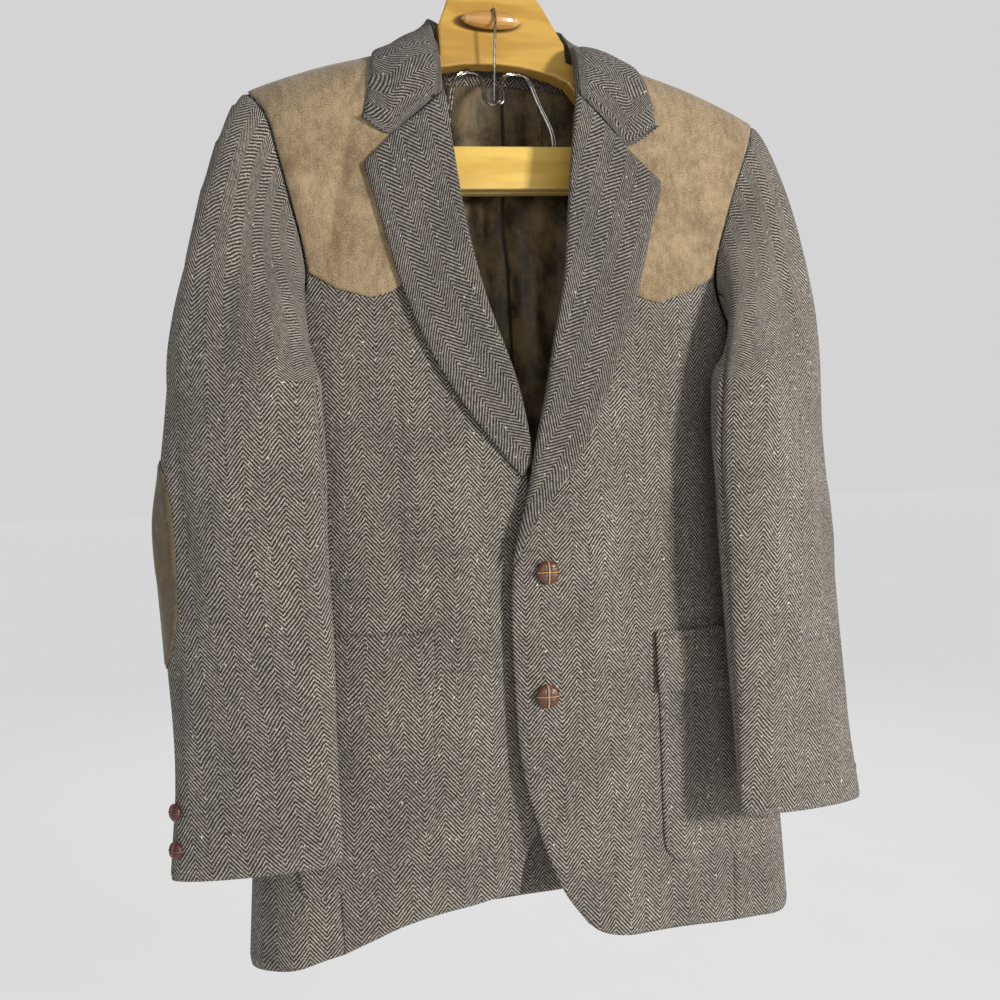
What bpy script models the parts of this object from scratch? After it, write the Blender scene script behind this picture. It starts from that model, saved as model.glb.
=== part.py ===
"""Tweed hacking jacket on a wooden hanger.

Metres, +Z up, the front facing -Y and the wearer's left towards +X.  Heights and widths are
worked out from the neck point, where shoulder seam and collar meet.  ORIGIN then moves every
piece so that the world origin is the inside top of the hanger's hook, which carries it all.
"""
import bmesh
import bpy
import numpy as np
from mathutils import Vector

# ---- driving sizes ---------------------------------------------------------------------------
HOOK_RISE = 0.130            # inside top of the hook above the neck point
HANGER_X = -0.0090           # the hanger sits this far to the wearer's right of the centre back
ORIGIN = np.array([HANGER_X, 0.0, HOOK_RISE])

CLOTH = 0.0020               # tweed
SUEDE = 0.0012               # yokes and elbow patches
SATIN = 0.0010               # back lining
COLLAR_CLOTH = 0.0022        # two layers and canvas
SEAM = 0.00020               # half of the gap at each seam
SKIN = 0.00035               # gap under a piece that lies on a panel

SHOULDER_ROUND = 0.050       # height over which the front rounds over to the shoulder seam
SECTION_POWER = 2.4          # superellipse power of a level section through the body
SECTION_ASPECT = 0.27        # depth of such a section over its half width
RIGHT, LEFT = -1, 1          # the wearer's sides, as the sign of X
FRONT, BACK = -1, 1          # the faces of the body, as the sign of Y

# level sections through the body: height, half width, depth in front, depth behind
BODY = np.array([
    # z       half    front   behind
    [0.030,  0.248,  0.044,  0.040],
    [-0.050, 0.247,  0.046,  0.042],
    [-0.120, 0.240,  0.049,  0.047],
    [-0.200, 0.233,  0.055,  0.048],
    [-0.260, 0.221,  0.060,  0.046],
    [-0.340, 0.216,  0.066,  0.043],
    [-0.430, 0.219,  0.071,  0.041],
    [-0.520, 0.228,  0.074,  0.042],
    [-0.640, 0.240,  0.073,  0.046],
    [-0.780, 0.249,  0.069,  0.048],
])

# shoulder seam: distance from the centre, height
SHOULDER = np.array([
    # x       z
    [0.000,  0.018],
    [0.072,  0.013],
    [0.125, -0.002],
    [0.165, -0.013],
    [0.205, -0.027],
    [0.240, -0.041],
])

# armholes on the front and on the back, from the shoulder point to the underarm: x, z
ARMHOLE = {
    (RIGHT, FRONT): np.array([
        [0.2270, -0.037], [0.2130, -0.060], [0.2040, -0.094], [0.1945, -0.135],
        [0.1860, -0.175], [0.1850, -0.206], [0.1960, -0.236], [0.2130, -0.249],
    ]),
    (LEFT, FRONT): np.array([
        [0.2390, -0.040], [0.2260, -0.066], [0.2120, -0.097], [0.1965, -0.137],
        [0.1830, -0.175], [0.1810, -0.206], [0.1940, -0.236], [0.2120, -0.249],
    ]),
    (RIGHT, BACK): np.array([
        [0.2270, -0.037], [0.2180, -0.066], [0.2120, -0.105], [0.2090, -0.145],
        [0.2090, -0.182], [0.2120, -0.212], [0.2160, -0.234], [0.2190, -0.247],
    ]),
    (LEFT, BACK): np.array([
        [0.2390, -0.040], [0.2280, -0.068], [0.2180, -0.105], [0.2105, -0.145],
        [0.2095, -0.182], [0.2120, -0.212], [0.2160, -0.234], [0.2190, -0.247],
    ]),
}
UNDERARM_Z = -0.250

# front edges, from the neck point along the roll line to the hem: signed x, z
RIGHT_EDGE = np.array([
    [-0.0735, 0.0115], [-0.0715, -0.012], [-0.0690, -0.037], [-0.0630, -0.081],
    [-0.0570, -0.130], [-0.0505, -0.172], [-0.0385, -0.222], [-0.0315, -0.244],
    [-0.0175, -0.288], [-0.0100, -0.326], [-0.0085, -0.350], [-0.0080, -0.370],
    [0.0020, -0.395], [0.0150, -0.425], [0.0240, -0.460], [0.0270, -0.520], [0.0200, -0.600],
    [0.0000, -0.655], [-0.0180, -0.690], [-0.0240, -0.722],
])
LEFT_EDGE = np.array([
    [0.0735, 0.0115], [0.0650, -0.012], [0.0570, -0.037], [0.0520, -0.060],
    [0.0465, -0.103], [0.0420, -0.146], [0.0350, -0.204], [0.0250, -0.248],
    [0.0130, -0.303], [0.0010, -0.346], [-0.0080, -0.386], [-0.0180, -0.420],
    [-0.0260, -0.450], [-0.0280, -0.496], [-0.0270, -0.546], [-0.0250, -0.589],
    [-0.0210, -0.622], [-0.0130, -0.654], [-0.0030, -0.687], [0.0110, -0.719],
    [0.0300, -0.746],
])

# hems of the fronts, from the front edge to the side body seam: signed x, z
RIGHT_HEM = np.array([
    [-0.0240, -0.7220], [-0.0450, -0.7215],
    [-0.0890, -0.725], [-0.1200, -0.732], [-0.1460, -0.743], [-0.1730, -0.755],
])
LEFT_HEM = np.array([
    [0.0300, -0.746], [0.0420, -0.755], [0.0610, -0.761], [0.0920, -0.763],
    [0.1310, -0.766], [0.1730, -0.770],
])

# side body seams on the front and on the back: distance from the centre, height
SIDE_SEAM = {
    FRONT: np.array([[0.1880, -0.340], [0.1820, -0.450], [0.1780, -0.560], [0.1750, -0.680]]),
    BACK: np.array([[0.1900, -0.300], [0.1780, -0.420], [0.1800, -0.540], [0.1880, -0.680]]),
}

FRONT_SEAM_FOOT, BACK_SEAM_FOOT = 0.173, 0.193   # those seams' distance from the centre at the hem

# hems of the side bodies, x from the front seam round the side to the back seam, as fractions
SIDE_HEM = {
    RIGHT: np.array([[0.0, -0.755], [0.25, -0.766], [0.50, -0.772], [1.0, -0.764]]),
    LEFT: np.array([[0.0, -0.770], [0.25, -0.773], [0.50, -0.776], [1.0, -0.764]]),
}
BACK_HEM_Z = -0.764
BACK_NECK = np.array([[0.0, 0.0030], [0.030, 0.0035], [0.058, 0.0070]])   # neck edge of the back

# lapels, outer edge from the point down to the break: signed x, z; gorge from roll to notch
LAPEL = {
    RIGHT: {
        "gorge": np.array([[-0.0670, -0.0440], [-0.0860, -0.0600], [-0.1105, -0.0805],
                           [-0.1340, -0.1060]]),
        "outer": np.array([[-0.1340, -0.106], [-0.1250, -0.140], [-0.1120, -0.190],
                           [-0.1000, -0.229], [-0.0870, -0.260], [-0.0700, -0.292],
                           [-0.0480, -0.325], [-0.0300, -0.348], [-0.0140, -0.368]]),
        "roll": np.array([[-0.0670, -0.0440], [-0.0630, -0.081], [-0.0570, -0.130],
                          [-0.0505, -0.172], [-0.0385, -0.222], [-0.0315, -0.244],
                          [-0.0175, -0.288], [-0.0100, -0.326], [-0.0083, -0.345],
                          [-0.0085, -0.362]]),
    },
    LEFT: {
        "gorge": np.array([[0.0545, -0.0400], [0.0745, -0.0590], [0.0955, -0.0825],
                           [0.1260, -0.1115]]),
        "outer": np.array([[0.1260, -0.1115], [0.1230, -0.130], [0.1140, -0.156],
                           [0.1050, -0.188], [0.0970, -0.215], [0.0790, -0.265],
                           [0.0570, -0.315], [0.0290, -0.362], [-0.0080, -0.409],
                           [-0.0200, -0.434]]),
        "roll": np.array([[0.0545, -0.0400], [0.0520, -0.060], [0.0465, -0.103],
                          [0.0420, -0.146], [0.0350, -0.204], [0.0250, -0.248],
                          [0.0130, -0.303], [0.0010, -0.346], [-0.0080, -0.386],
                          [-0.0180, -0.420], [-0.0235, -0.438]]),
    },
}
LAPEL_LIFT = 0.0025          # underside of lapel and collar above the panel
LAPEL_ROLL = 0.0044          # how far the lapel's fold passes the panel's edge

# collar, from the centre back to the front end: foot of the stand, fold, and outer edge
COLLAR = {
    RIGHT: np.array([
        # foot x   y       z       fold x   y       z       edge x   y       z
        [0.0000,  0.0275, 0.0042, 0.0000,  0.0400, 0.0430, 0.0000,  0.0600, -0.0060],
        [0.0370,  0.0255, 0.0050, 0.0360,  0.0370, 0.0460, 0.0600,  0.0620, -0.0060],
        [0.0620,  0.0150, 0.0110, 0.0630,  0.0210, 0.0495, 0.1120,  0.0320, 0.0050],
        [0.0700,  0.0040, 0.0155, 0.0655,  0.0030, 0.0370, 0.1180,  0.0050, 0.0050],
        [0.0680, -0.0200, -0.0060, 0.0665, -0.0260, 0.0050, 0.1230, -0.0300, -0.0200],
        [0.0650, -0.0400, -0.0330, 0.0670, -0.0445, -0.0310, 0.1340, -0.0500, -0.0600],
    ]),
    LEFT: np.array([
        [0.0000,  0.0275, 0.0042, 0.0000,  0.0400, 0.0430, 0.0000,  0.0600, -0.0060],
        [0.0350,  0.0255, 0.0050, 0.0330,  0.0370, 0.0460, 0.0580,  0.0620, -0.0060],
        [0.0600,  0.0150, 0.0110, 0.0560,  0.0210, 0.0465, 0.1080,  0.0320, 0.0050],
        [0.0690,  0.0040, 0.0155, 0.0590,  0.0030, 0.0310, 0.1120,  0.0050, 0.0040],
        [0.0600, -0.0200, -0.0080, 0.0560, -0.0260, 0.0010, 0.1170, -0.0300, -0.0200],
        [0.0530, -0.0400, -0.0330, 0.0550, -0.0445, -0.0310, 0.1270, -0.0500, -0.0600],
    ]),
}
COLLAR_END = {               # the front end: along the gorge, round the notch to the point: x, z
    RIGHT: np.array([[0.0670, -0.0414], [0.0865, -0.0584], [0.1115, -0.0794], [0.1345, -0.0645]]),
    LEFT: np.array([[0.0545, -0.0370], [0.0745, -0.0565], [0.0965, -0.0810], [0.1262, -0.0605]]),
}
STAND_FOOT = np.array([-0.0040, 0.0022])    # from the fold to the stand's foot at the front end
# outer face above the body, from the fold over the fall to its edge
COLLAR_CLEAR = (0.0044, 0.0060, 0.0074, 0.0080, 0.0078, 0.0070, 0.0060)
FALL_RISE = 0.0075           # how far the fall arches between its fold and its edge

# suede yokes, lower edge from the armhole to under the lapel: distance from the centre, height
YOKE_LOW = {
    RIGHT: np.array([[0.1820, -0.1950], [0.1610, -0.2085], [0.1330, -0.2170], [0.1180, -0.2130],
                     [0.1000, -0.2030]]),
    LEFT: np.array([[0.1780, -0.1930], [0.1500, -0.2080], [0.1200, -0.2190], [0.1060, -0.2160],
                    [0.0880, -0.2080]]),
}
LINING_GAP = 0.0009          # between the back and the lining's sewn edges
LINING_HALF, LINING_TOP, LINING_LOW = 0.140, -0.0020, -0.430
LINING_BELOW_SEAM = 0.020    # the lining's top edge keeps this far below the shoulder seams
YOKE_LIFT = 0.0008           # underside of the yoke above the front's section
YOKE_TOP_X = 0.110           # inner end of the yoke on the shoulder seam, under the collar

# patch pockets and their flaps: distance of the front edge, widths, heights
POCKET = {
    RIGHT: {"x0": 0.0960, "x1": 0.2060, "top": -0.4945, "flap0": 0.048, "flap1": 0.078,
            "low": -0.668, "low_tilt": -0.048, "radius": 0.026},
    LEFT: {"x0": 0.1020, "x1": 0.2080, "top": -0.5050, "flap0": 0.052, "flap1": 0.058,
           "low": -0.708, "low_tilt": 0.000, "radius": 0.026},
}
FLAP_OVERHANG = 0.003
POCKET_LIFT, POCKET_CLOTH = 0.0009, 0.0016
POCKET_MOUTH_DROP = 0.010

# sleeves below the armhole: height, distance and depth of the middle, half width, half depth, turn
SLEEVE = {
    RIGHT: np.array([
        [-0.290, 0.2365, -0.0590, 0.0605, 0.0290, 20.0],
        [-0.345, 0.2405, -0.0620, 0.0660, 0.0300, 21.0],
        [-0.410, 0.2425, -0.0660, 0.0700, 0.0300, 22.0],
        [-0.490, 0.2395, -0.0710, 0.0690, 0.0270, 22.0],
        [-0.580, 0.2370, -0.0760, 0.0660, 0.0220, 20.0],
        [-0.669, 0.2390, -0.0790, 0.0685, 0.0175, 16.0],
    ]),
    LEFT: np.array([
        [-0.290, 0.2180, -0.0630, 0.0640, 0.0290, 24.0],
        [-0.345, 0.2150, -0.0680, 0.0680, 0.0300, 26.0],
        [-0.410, 0.2145, -0.0740, 0.0720, 0.0300, 27.0],
        [-0.490, 0.2165, -0.0790, 0.0730, 0.0270, 26.0],
        [-0.580, 0.2195, -0.0840, 0.0730, 0.0230, 24.0],
        [-0.661, 0.2240, -0.0880, 0.0760, 0.0180, 20.0],
    ]),
}
CUFF_TILT = 0.006            # the cuff is this much lower at the little-finger side
CROWN_REACH = 0.08           # how far the sleeve head runs outwards before it falls
ARM_FALL = 0.34              # how far up the sleeve the hanging direction is kept

# sleeve seams in fractions of a half turn from the outermost line: at armhole, elbow, cuff
BACK_SEAM = np.array([[0.0, -0.52], [0.45, -0.32], [1.0, -0.115]])
FRONT_SEAM = np.array([[0.0, 0.70], [0.45, 0.80], [1.0, 0.84]])
PITCH = 0.20                 # the hanging sleeve is turned this far forwards of its armhole

PATCH_LIFT = 0.0021          # underside of the patches above the sleeve's section
PATCH_TOP = -0.347           # suede elbow patches
PATCH_LOW = -0.512
PATCH_HALF = 0.26            # half width in fractions of a half turn
PATCH_MIDDLE = {RIGHT: -0.180, LEFT: -0.440}
CUFF_BUTTON_TURN = {RIGHT: 0.085, LEFT: -0.130}     # from the elbow seam, in half turns

# soft folds of the cloth: face, x and z of the upper end, x and z of the lower end, width, height
FOLDS = [
    # face    x0      z0      x1      z1      width  height
    (FRONT, -0.205, -0.600, -0.214, -0.790, 0.020, 0.0070),
    (FRONT, -0.040, -0.430, -0.036, -0.780, 0.024, -0.0065),
    (FRONT, -0.120, -0.520, -0.105, -0.790, 0.030, 0.0030),
    (FRONT, 0.075, -0.600, 0.085, -0.790, 0.030, 0.0035),
    (FRONT, 0.215, -0.560, 0.222, -0.790, 0.018, 0.0050),
    (BACK, -0.110, -0.480, -0.125, -0.790, 0.030, 0.0060),
    (BACK, 0.060, -0.520, 0.072, -0.790, 0.028, 0.0050),
    (BACK, 0.170, -0.450, 0.165, -0.790, 0.026, 0.0045),
    (BACK, -0.030, -0.500, -0.022, -0.790, 0.022, -0.0030),
]

FRONT_BUTTONS = ((0.0030, -0.4490), (-0.0010, -0.5510))      # x and z
BUTTON_RADIUS, BUTTON_DOME = 0.0098, 0.0062
CUFF_BUTTON_RADIUS, CUFF_BUTTON_DOME = 0.0068, 0.0050
CUFF_BUTTON_Z = (0.024, 0.052)            # above the cuff's hem

BOARD_FRONT, BOARD_BACK = -0.0090, 0.0090
# the board's outline: its head down each side, its arms under the shoulder seams, its arch
HANGER_HEAD = {
    LEFT: ((0.0270, 0.0640), (0.0331, 0.0568), (0.0543, 0.0217), (0.0560, 0.0060)),
    RIGHT: ((-0.0460, 0.0640), (-0.0529, 0.0539), (-0.0612, 0.0320), (-0.0605, 0.0060)),
}
HANGER_ARM = np.array([
    # x      below the seam  depth
    [0.0720, 0.0110, 0.0300],
    [0.1000, 0.0066, 0.0340],
    [0.1300, 0.0052, 0.0330],
    [0.1600, 0.0052, 0.0300],
    [0.1850, 0.0056, 0.0260],
    [0.2000, 0.0064, 0.0200],
    [0.2070, 0.0110, 0.0080],
])
HANGER_ARCH = {
    LEFT: ((0.0560, -0.0125), (0.0438, -0.0075), (0.0261, -0.0030), (0.0114, -0.0008)),
    RIGHT: ((-0.0600, -0.0056), (-0.0425, -0.0022), (-0.0256, -0.0004), (-0.0080, 0.0004)),
}
BAR_X, BAR_HALF, BAR_TOP, BAR_LOW, BAR_SLOPE = -0.0035, 0.150, -0.0732, -0.1113, 0.040
BAR_FACES = (0.0015, 0.0125)
TOGGLE_X, TOGGLE_Z, TOGGLE_HALF, TOGGLE_RADIUS = -0.0150, 0.0352, 0.0275, 0.0076
HOOK_WIRE, HOOK_BEND = 0.0017, 0.0215
CLAMP_WIRE, BAR_WIRE = 0.00115, 0.00080
# routes of the clamp's wires
PULL_WIRE = (
    (-0.0128, -0.0100, -0.0330), (-0.0134, -0.0135, -0.0260), (-0.0142, -0.0200, -0.0120),
    (-0.0147, -0.0240, 0.0000), (-0.0140, -0.0264, 0.0200), (-0.0136, -0.0266, 0.0352),
    (-0.0138, -0.0242, 0.0417), (-0.0138, -0.0175, 0.0447), (-0.0138, -0.0120, 0.0442),
)
CLAMP_LEG = {
    RIGHT: (
        (-0.0148, -0.0100, -0.0352), (-0.0176, -0.0100, -0.0364), (-0.0208, -0.0098, -0.0340),
        (-0.0226, -0.0080, -0.0270), (-0.0222, -0.0040, -0.0160), (-0.0248, 0.0000, -0.0078),
        (-0.0300, 0.0018, -0.0042), (-0.0365, 0.0024, -0.0036), (-0.0432, 0.0018, -0.0072),
        (-0.0485, 0.0000, -0.0170), (-0.0517, 0.0000, -0.0306), (-0.0550, 0.0000, -0.0560),
        (-0.0555, 0.0000, -0.0860),
    ),
    LEFT: (
        (-0.0104, -0.0100, -0.0346), (-0.0076, -0.0100, -0.0332), (-0.0062, -0.0092, -0.0262),
        (-0.0066, -0.0040, -0.0160), (-0.0020, 0.0000, -0.0070), (0.0043, 0.0018, -0.0034),
        (0.0150, 0.0024, -0.0034), (0.0196, 0.0016, -0.0062), (0.0236, 0.0000, -0.0135),
        (0.0288, 0.0000, -0.0265), (0.0402, 0.0000, -0.0509), (0.0427, 0.0000, -0.0599),
        (0.0430, 0.0000, -0.0820),
    ),
}
BAR_HANGER = {
    RIGHT: ((-0.0512, 0.0050, -0.0048), (-0.0534, 0.0045, -0.0280), (-0.0490, 0.0020, -0.0600),
            (-0.0480, 0.0000, -0.0860)),
    LEFT: ((0.0302, 0.0050, -0.0052), (0.0312, 0.0045, -0.0280), (0.0330, 0.0020, -0.0600),
           (0.0334, 0.0000, -0.0820)),
}

TWEED = ((0.165, 0.140, 0.120), 0.95)
TAN_SUEDE = ((0.420, 0.320, 0.190), 0.90)
OLIVE_SATIN = ((0.120, 0.095, 0.055), 0.45)
LEATHER = ((0.200, 0.065, 0.030), 0.40)
DARK_LEATHER = ((0.090, 0.025, 0.020), 0.38)
MAPLE = ((0.780, 0.500, 0.160), 0.35)
STEEL = ((0.620, 0.610, 0.590), 0.25)


# ---- curves and tables -----------------------------------------------------------------------
def column(table, key, value):
    """Smooth value of one column of a table against its first column (monotone cubic)."""
    x = table[:, 0]
    y = table[:, key]
    if x[0] > x[-1]:
        x, y = x[::-1], y[::-1]
    value = np.clip(value, x[0], x[-1])
    step = np.diff(x)
    rise = np.diff(y) / step
    slope = np.empty_like(y)
    slope[0], slope[-1] = rise[0], rise[-1]
    same = rise[:-1] * rise[1:] > 0.0
    total = np.where(same, rise[:-1] + rise[1:], 1.0)
    slope[1:-1] = np.where(same, 2.0 * rise[:-1] * rise[1:] / total, 0.0)
    i = np.clip(np.searchsorted(x, value, side="right") - 1, 0, len(x) - 2)
    t = (value - x[i]) / step[i]
    a = (1 + 2 * t) * (1 - t) ** 2 * y[i] + t * (1 - t) ** 2 * step[i] * slope[i]
    return a + t * t * (3 - 2 * t) * y[i + 1] + t * t * (t - 1) * step[i] * slope[i + 1]


def along(points, fractions, power=0.5):
    """Points at fractions of the length of a smooth curve through the given points."""
    points = np.asarray(points, float)
    first = 2 * points[0] - points[1]
    last = 2 * points[-1] - points[-2]
    p = np.vstack([first, points, last])
    fine = []
    for i in range(1, len(p) - 2):
        chord = np.maximum(np.linalg.norm(np.diff(p[i - 1:i + 3], axis=0), axis=1), 1e-9) ** power
        t0, t1, t2, t3 = np.concatenate([[0.0], np.cumsum(chord)])
        t = np.linspace(t1, t2, 13)[:, None]
        a1 = (t1 - t) / (t1 - t0) * p[i - 1] + (t - t0) / (t1 - t0) * p[i]
        a2 = (t2 - t) / (t2 - t1) * p[i] + (t - t1) / (t2 - t1) * p[i + 1]
        a3 = (t3 - t) / (t3 - t2) * p[i + 1] + (t - t2) / (t3 - t2) * p[i + 2]
        b1 = (t2 - t) / (t2 - t0) * a1 + (t - t0) / (t2 - t0) * a2
        b2 = (t3 - t) / (t3 - t1) * a2 + (t - t1) / (t3 - t1) * a3
        piece = (t2 - t) / (t2 - t1) * b1 + (t - t1) / (t2 - t1) * b2
        fine.append(piece if i == len(p) - 3 else piece[:-1])
    fine = np.vstack(fine)
    length = np.concatenate([[0.0], np.cumsum(np.linalg.norm(np.diff(fine, axis=0), axis=1))])
    length /= length[-1]
    return np.stack([np.interp(fractions, length, fine[:, k]) for k in range(fine.shape[1])], -1)


def smooth(low, high, value):
    t = np.clip((value - low) / (high - low), 0.0, 1.0)
    return t * t * (3 - 2 * t)


# ---- the body of the jacket ------------------------------------------------------------------
def unit_section(samples=400):
    """Quarter of a unit superellipse, against the fraction of its length from the centre."""
    angle = np.linspace(0.0, np.pi / 2, samples)
    power = 2.0 / SECTION_POWER
    x = np.sin(angle) ** power
    y = np.cos(angle) ** power
    y[-1] = 0.0
    length = np.concatenate([[0.0], np.cumsum(np.hypot(np.diff(x), SECTION_ASPECT * np.diff(y)))])
    return length / length[-1], x, y


SECTION_T, SECTION_X, SECTION_Y = unit_section()


def ridge(x):
    return column(SHOULDER, 1, np.abs(x))


def turn_of(side, x, z):
    """Fraction of the way round from centre to side, signed to this side, for a distance x."""
    ratio = np.clip(np.abs(x) / column(BODY, 1, z), 0.0, 1.0)
    return np.interp(ratio, SECTION_X, SECTION_T) * np.sign(x * side)


def folds(face, x, z):
    """How far the soft folds push the cloth out of the smooth form."""
    total = np.zeros(np.broadcast(x, z).shape)
    for side, x0, z0, x1, z1, width, height in FOLDS:
        if side == face:
            run = np.clip((z0 - z) / (z0 - z1), 0.0, 1.0)
            middle = x0 + (x1 - x0) * run
            total = total + height * smooth(0.0, 0.7, run) * np.exp(-((x - middle) / width) ** 2)
    return total


def overlap(side, x, z):
    """The left front lies over the right one, whose lower corner turns in."""
    if side == LEFT:
        return 0.0072 * smooth(0.110, 0.030, x) * smooth(-0.290, -0.370, z)
    return -0.0040 * smooth(-0.045, -0.020, x) * smooth(-0.640, -0.712, z)


def body(side, face, t, z):
    """A point of the cloth's outer face: t from the centre (0) to the side (1)."""
    t, z = np.broadcast_arrays(np.asarray(t, float), np.asarray(z, float))
    half = column(BODY, 1, z)
    x = side * np.sign(t) * half * np.interp(np.abs(t), SECTION_T, SECTION_X)
    depth = column(BODY, 2 if face == FRONT else 3, z) * np.interp(np.abs(t), SECTION_T, SECTION_Y)
    drop = np.clip((ridge(x) - z) / SHOULDER_ROUND, 0.0, 1.0)
    depth = depth * np.sqrt(1.0 - (1.0 - drop) ** 2)
    push = folds(face, x, z) * smooth(1.0, 0.85, np.abs(t))
    if face == FRONT:
        push = push + overlap(side, x, z)
    return np.stack([x, face * (depth + push), z], -1)


def body_normal(side, face, t, z):
    """Outward direction of the cloth there; straight up along the shoulder seam."""
    t = np.clip(t, -0.999, 0.9985)
    crest = ridge(body(side, face, t, z)[..., 0])
    z = np.minimum(z, crest - 0.0015)
    h, k = 0.0015, 0.0010
    across = body(side, face, t + h, z) - body(side, face, t - h, z)
    down = body(side, face, t, z - k) - body(side, face, t, z + k)
    n = np.cross(across, down) * side * face
    return n / np.linalg.norm(n, axis=-1, keepdims=True)


# ---- solids ----------------------------------------------------------------------------------
def material(name, look, metallic=0.0):
    colour, roughness = look
    mat = bpy.data.materials.new(name + "_material")
    mat.use_nodes = True
    shader = mat.node_tree.nodes["Principled BSDF"]
    shader.inputs["Base Color"].default_value = (*colour, 1.0)
    shader.inputs["Roughness"].default_value = roughness
    shader.inputs["Metallic"].default_value = metallic
    return mat


def solid(name, points, faces, look, metallic=0.0, crisp=35.0):
    """One named object from points and faces, its faces turned outwards."""
    mesh = bpy.data.meshes.new(name)
    mesh.from_pydata([tuple(p - ORIGIN) for p in points], [], faces)
    form = bmesh.new()
    form.from_mesh(mesh)
    bmesh.ops.recalc_face_normals(form, faces=form.faces)
    if form.calc_volume(signed=True) < 0.0:
        bmesh.ops.reverse_faces(form, faces=form.faces)
    form.to_mesh(mesh)
    form.free()
    mesh.shade_smooth()
    mesh.set_sharp_from_angle(angle=np.radians(crisp))
    mesh.materials.append(material(name, look, metallic))
    piece = bpy.data.objects.new(name, mesh)
    bpy.context.scene.collection.objects.link(piece)
    return piece


def wall(name, outer, inner, look):
    """A cloth wall between two grids of points (rows x columns)."""
    rows, columns = outer.shape[:2]
    count = rows * columns
    points = np.vstack([outer.reshape(-1, 3), inner.reshape(-1, 3)])
    faces = []
    for r in range(rows - 1):
        for c in range(columns - 1):
            a = r * columns + c
            b, d, e = a + 1, a + columns, a + columns + 1
            faces.append((a, b, e, d))
            faces.append((count + a, count + d, count + e, count + b))
    low = (rows - 1) * columns
    rim = [(r * columns, (r + 1) * columns) for r in range(rows - 1)]
    rim += [((r + 1) * columns + columns - 1, r * columns + columns - 1) for r in range(rows - 1)]
    rim += [(c + 1, c) for c in range(columns - 1)]
    rim += [(low + c, low + c + 1) for c in range(columns - 1)]
    for a, b in rim:
        faces.append((a, b, count + b, count + a))
    return solid(name, points, faces, look)


def grid_normals(grid):
    """Outward directions of a grid of points, from its own neighbours."""
    down = np.gradient(grid, axis=0)
    across = np.gradient(grid, axis=1)
    n = np.cross(across, down)
    return n / np.linalg.norm(n, axis=-1, keepdims=True)


def coons(top, low, first, last, v):
    """Grid of domain points between four edges; top and low run from first to last."""
    v = v[:, None, None]
    u = np.linspace(0.0, 1.0, len(top))[None, :, None]
    ruled = (1 - v) * top[None] + v * low[None] + (1 - u) * first[:, None] + u * last[:, None]
    corners = (1 - v) * ((1 - u) * top[0] + u * top[-1]) + v * ((1 - u) * low[0] + u * low[-1])
    return ruled - corners


def to_turn(side, points):
    """From signed or plain distances and heights to the (t, z) of the body."""
    points = np.asarray(points, float)
    return np.stack([turn_of(side, points[:, 0], points[:, 1]), points[:, 1]], -1)


def inset(points, distance):
    """Moves a boundary along the body by a distance in t, which leaves half of a seam's gap."""
    moved = points.copy()
    moved[:, 0] += distance
    return moved


def on_shoulder_seam(outer, normals, which, face):
    """Sets a panel's top row on the shoulder seam, half of the seam's gap from its middle."""
    normals[0, which, 1] = 0.0
    normals[0] /= np.linalg.norm(normals[0], axis=-1, keepdims=True)
    outer[0, which, 1] = face * SEAM


# ---- pieces of the jacket --------------------------------------------------------------------
NECK_POINT_X = 0.070         # the shoulder seam starts here
GAP_T = 0.0010               # half a seam's gap in fractions of the quarter section
CENTRE_GAP_T = 0.0004        # the same at the centre back, where the section runs straight

ARM_ROWS, SEAM_ROWS = 13, 13
ARM_SHARE = 0.32             # of the front's and the back's height, down to the side body's top
ARM_V = np.linspace(0.0, 1.0, ARM_ROWS) ** 1.5      # rows lie closer over the round shoulder
SEAM_V = np.linspace(0.0, 1.0, SEAM_ROWS)
PANEL_V = np.concatenate([ARM_V * ARM_SHARE, ARM_SHARE + SEAM_V[1:] * (1.0 - ARM_SHARE)])


def side_points(side, table, fractions):
    signed = np.array(table, float)
    signed[:, 0] *= side
    return to_turn(side, along(signed, fractions))


def seam_points(side, face, hem_z):
    """The seam between a side body and its neighbour, on the rows that both share."""
    armhole = ARMHOLE[side, face]
    start = armhole[6] if face == FRONT else armhole[4]
    foot = FRONT_SEAM_FOOT if face == FRONT else BACK_SEAM_FOOT
    return side_points(side, np.vstack([[start], SIDE_SEAM[face], [[foot, hem_z]]]), SEAM_V)


def outer_points(side, face, hem_z):
    """A panel's outer edge: down its armhole and then down the seam of the side body."""
    last_knot = 7 if face == FRONT else 5
    armhole = side_points(side, ARMHOLE[side, face][:last_knot], ARM_V)
    return np.vstack([armhole[:-1], seam_points(side, face, hem_z)])


def front(side):
    columns = 11
    edge = RIGHT_EDGE if side == RIGHT else LEFT_EDGE
    hem = RIGHT_HEM if side == RIGHT else LEFT_HEM
    armhole = ARMHOLE[side, FRONT]
    first = to_turn(side, along(edge, PANEL_V))
    last = inset(outer_points(side, FRONT, hem[-1, 1]), -GAP_T)
    x = np.linspace(abs(edge[0, 0]), armhole[0, 0], columns) * side
    top = to_turn(side, np.stack([x, ridge(x)], -1))
    top[0], top[-1] = first[0], last[0]
    low = to_turn(side, along(hem, np.linspace(0.0, 1.0, columns)))
    low[0], low[-1] = first[-1], last[-1]
    grid = coons(top, low, first, last, PANEL_V)
    t, z = grid[..., 0], grid[..., 1]
    n = body_normal(side, FRONT, t, z)
    outer = body(side, FRONT, t, z)
    on_shoulder_seam(outer, n, np.full(columns, True), FRONT)
    wall("front_" + SIDE_NAME[side], outer, outer - n * CLOTH, TWEED)


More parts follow.
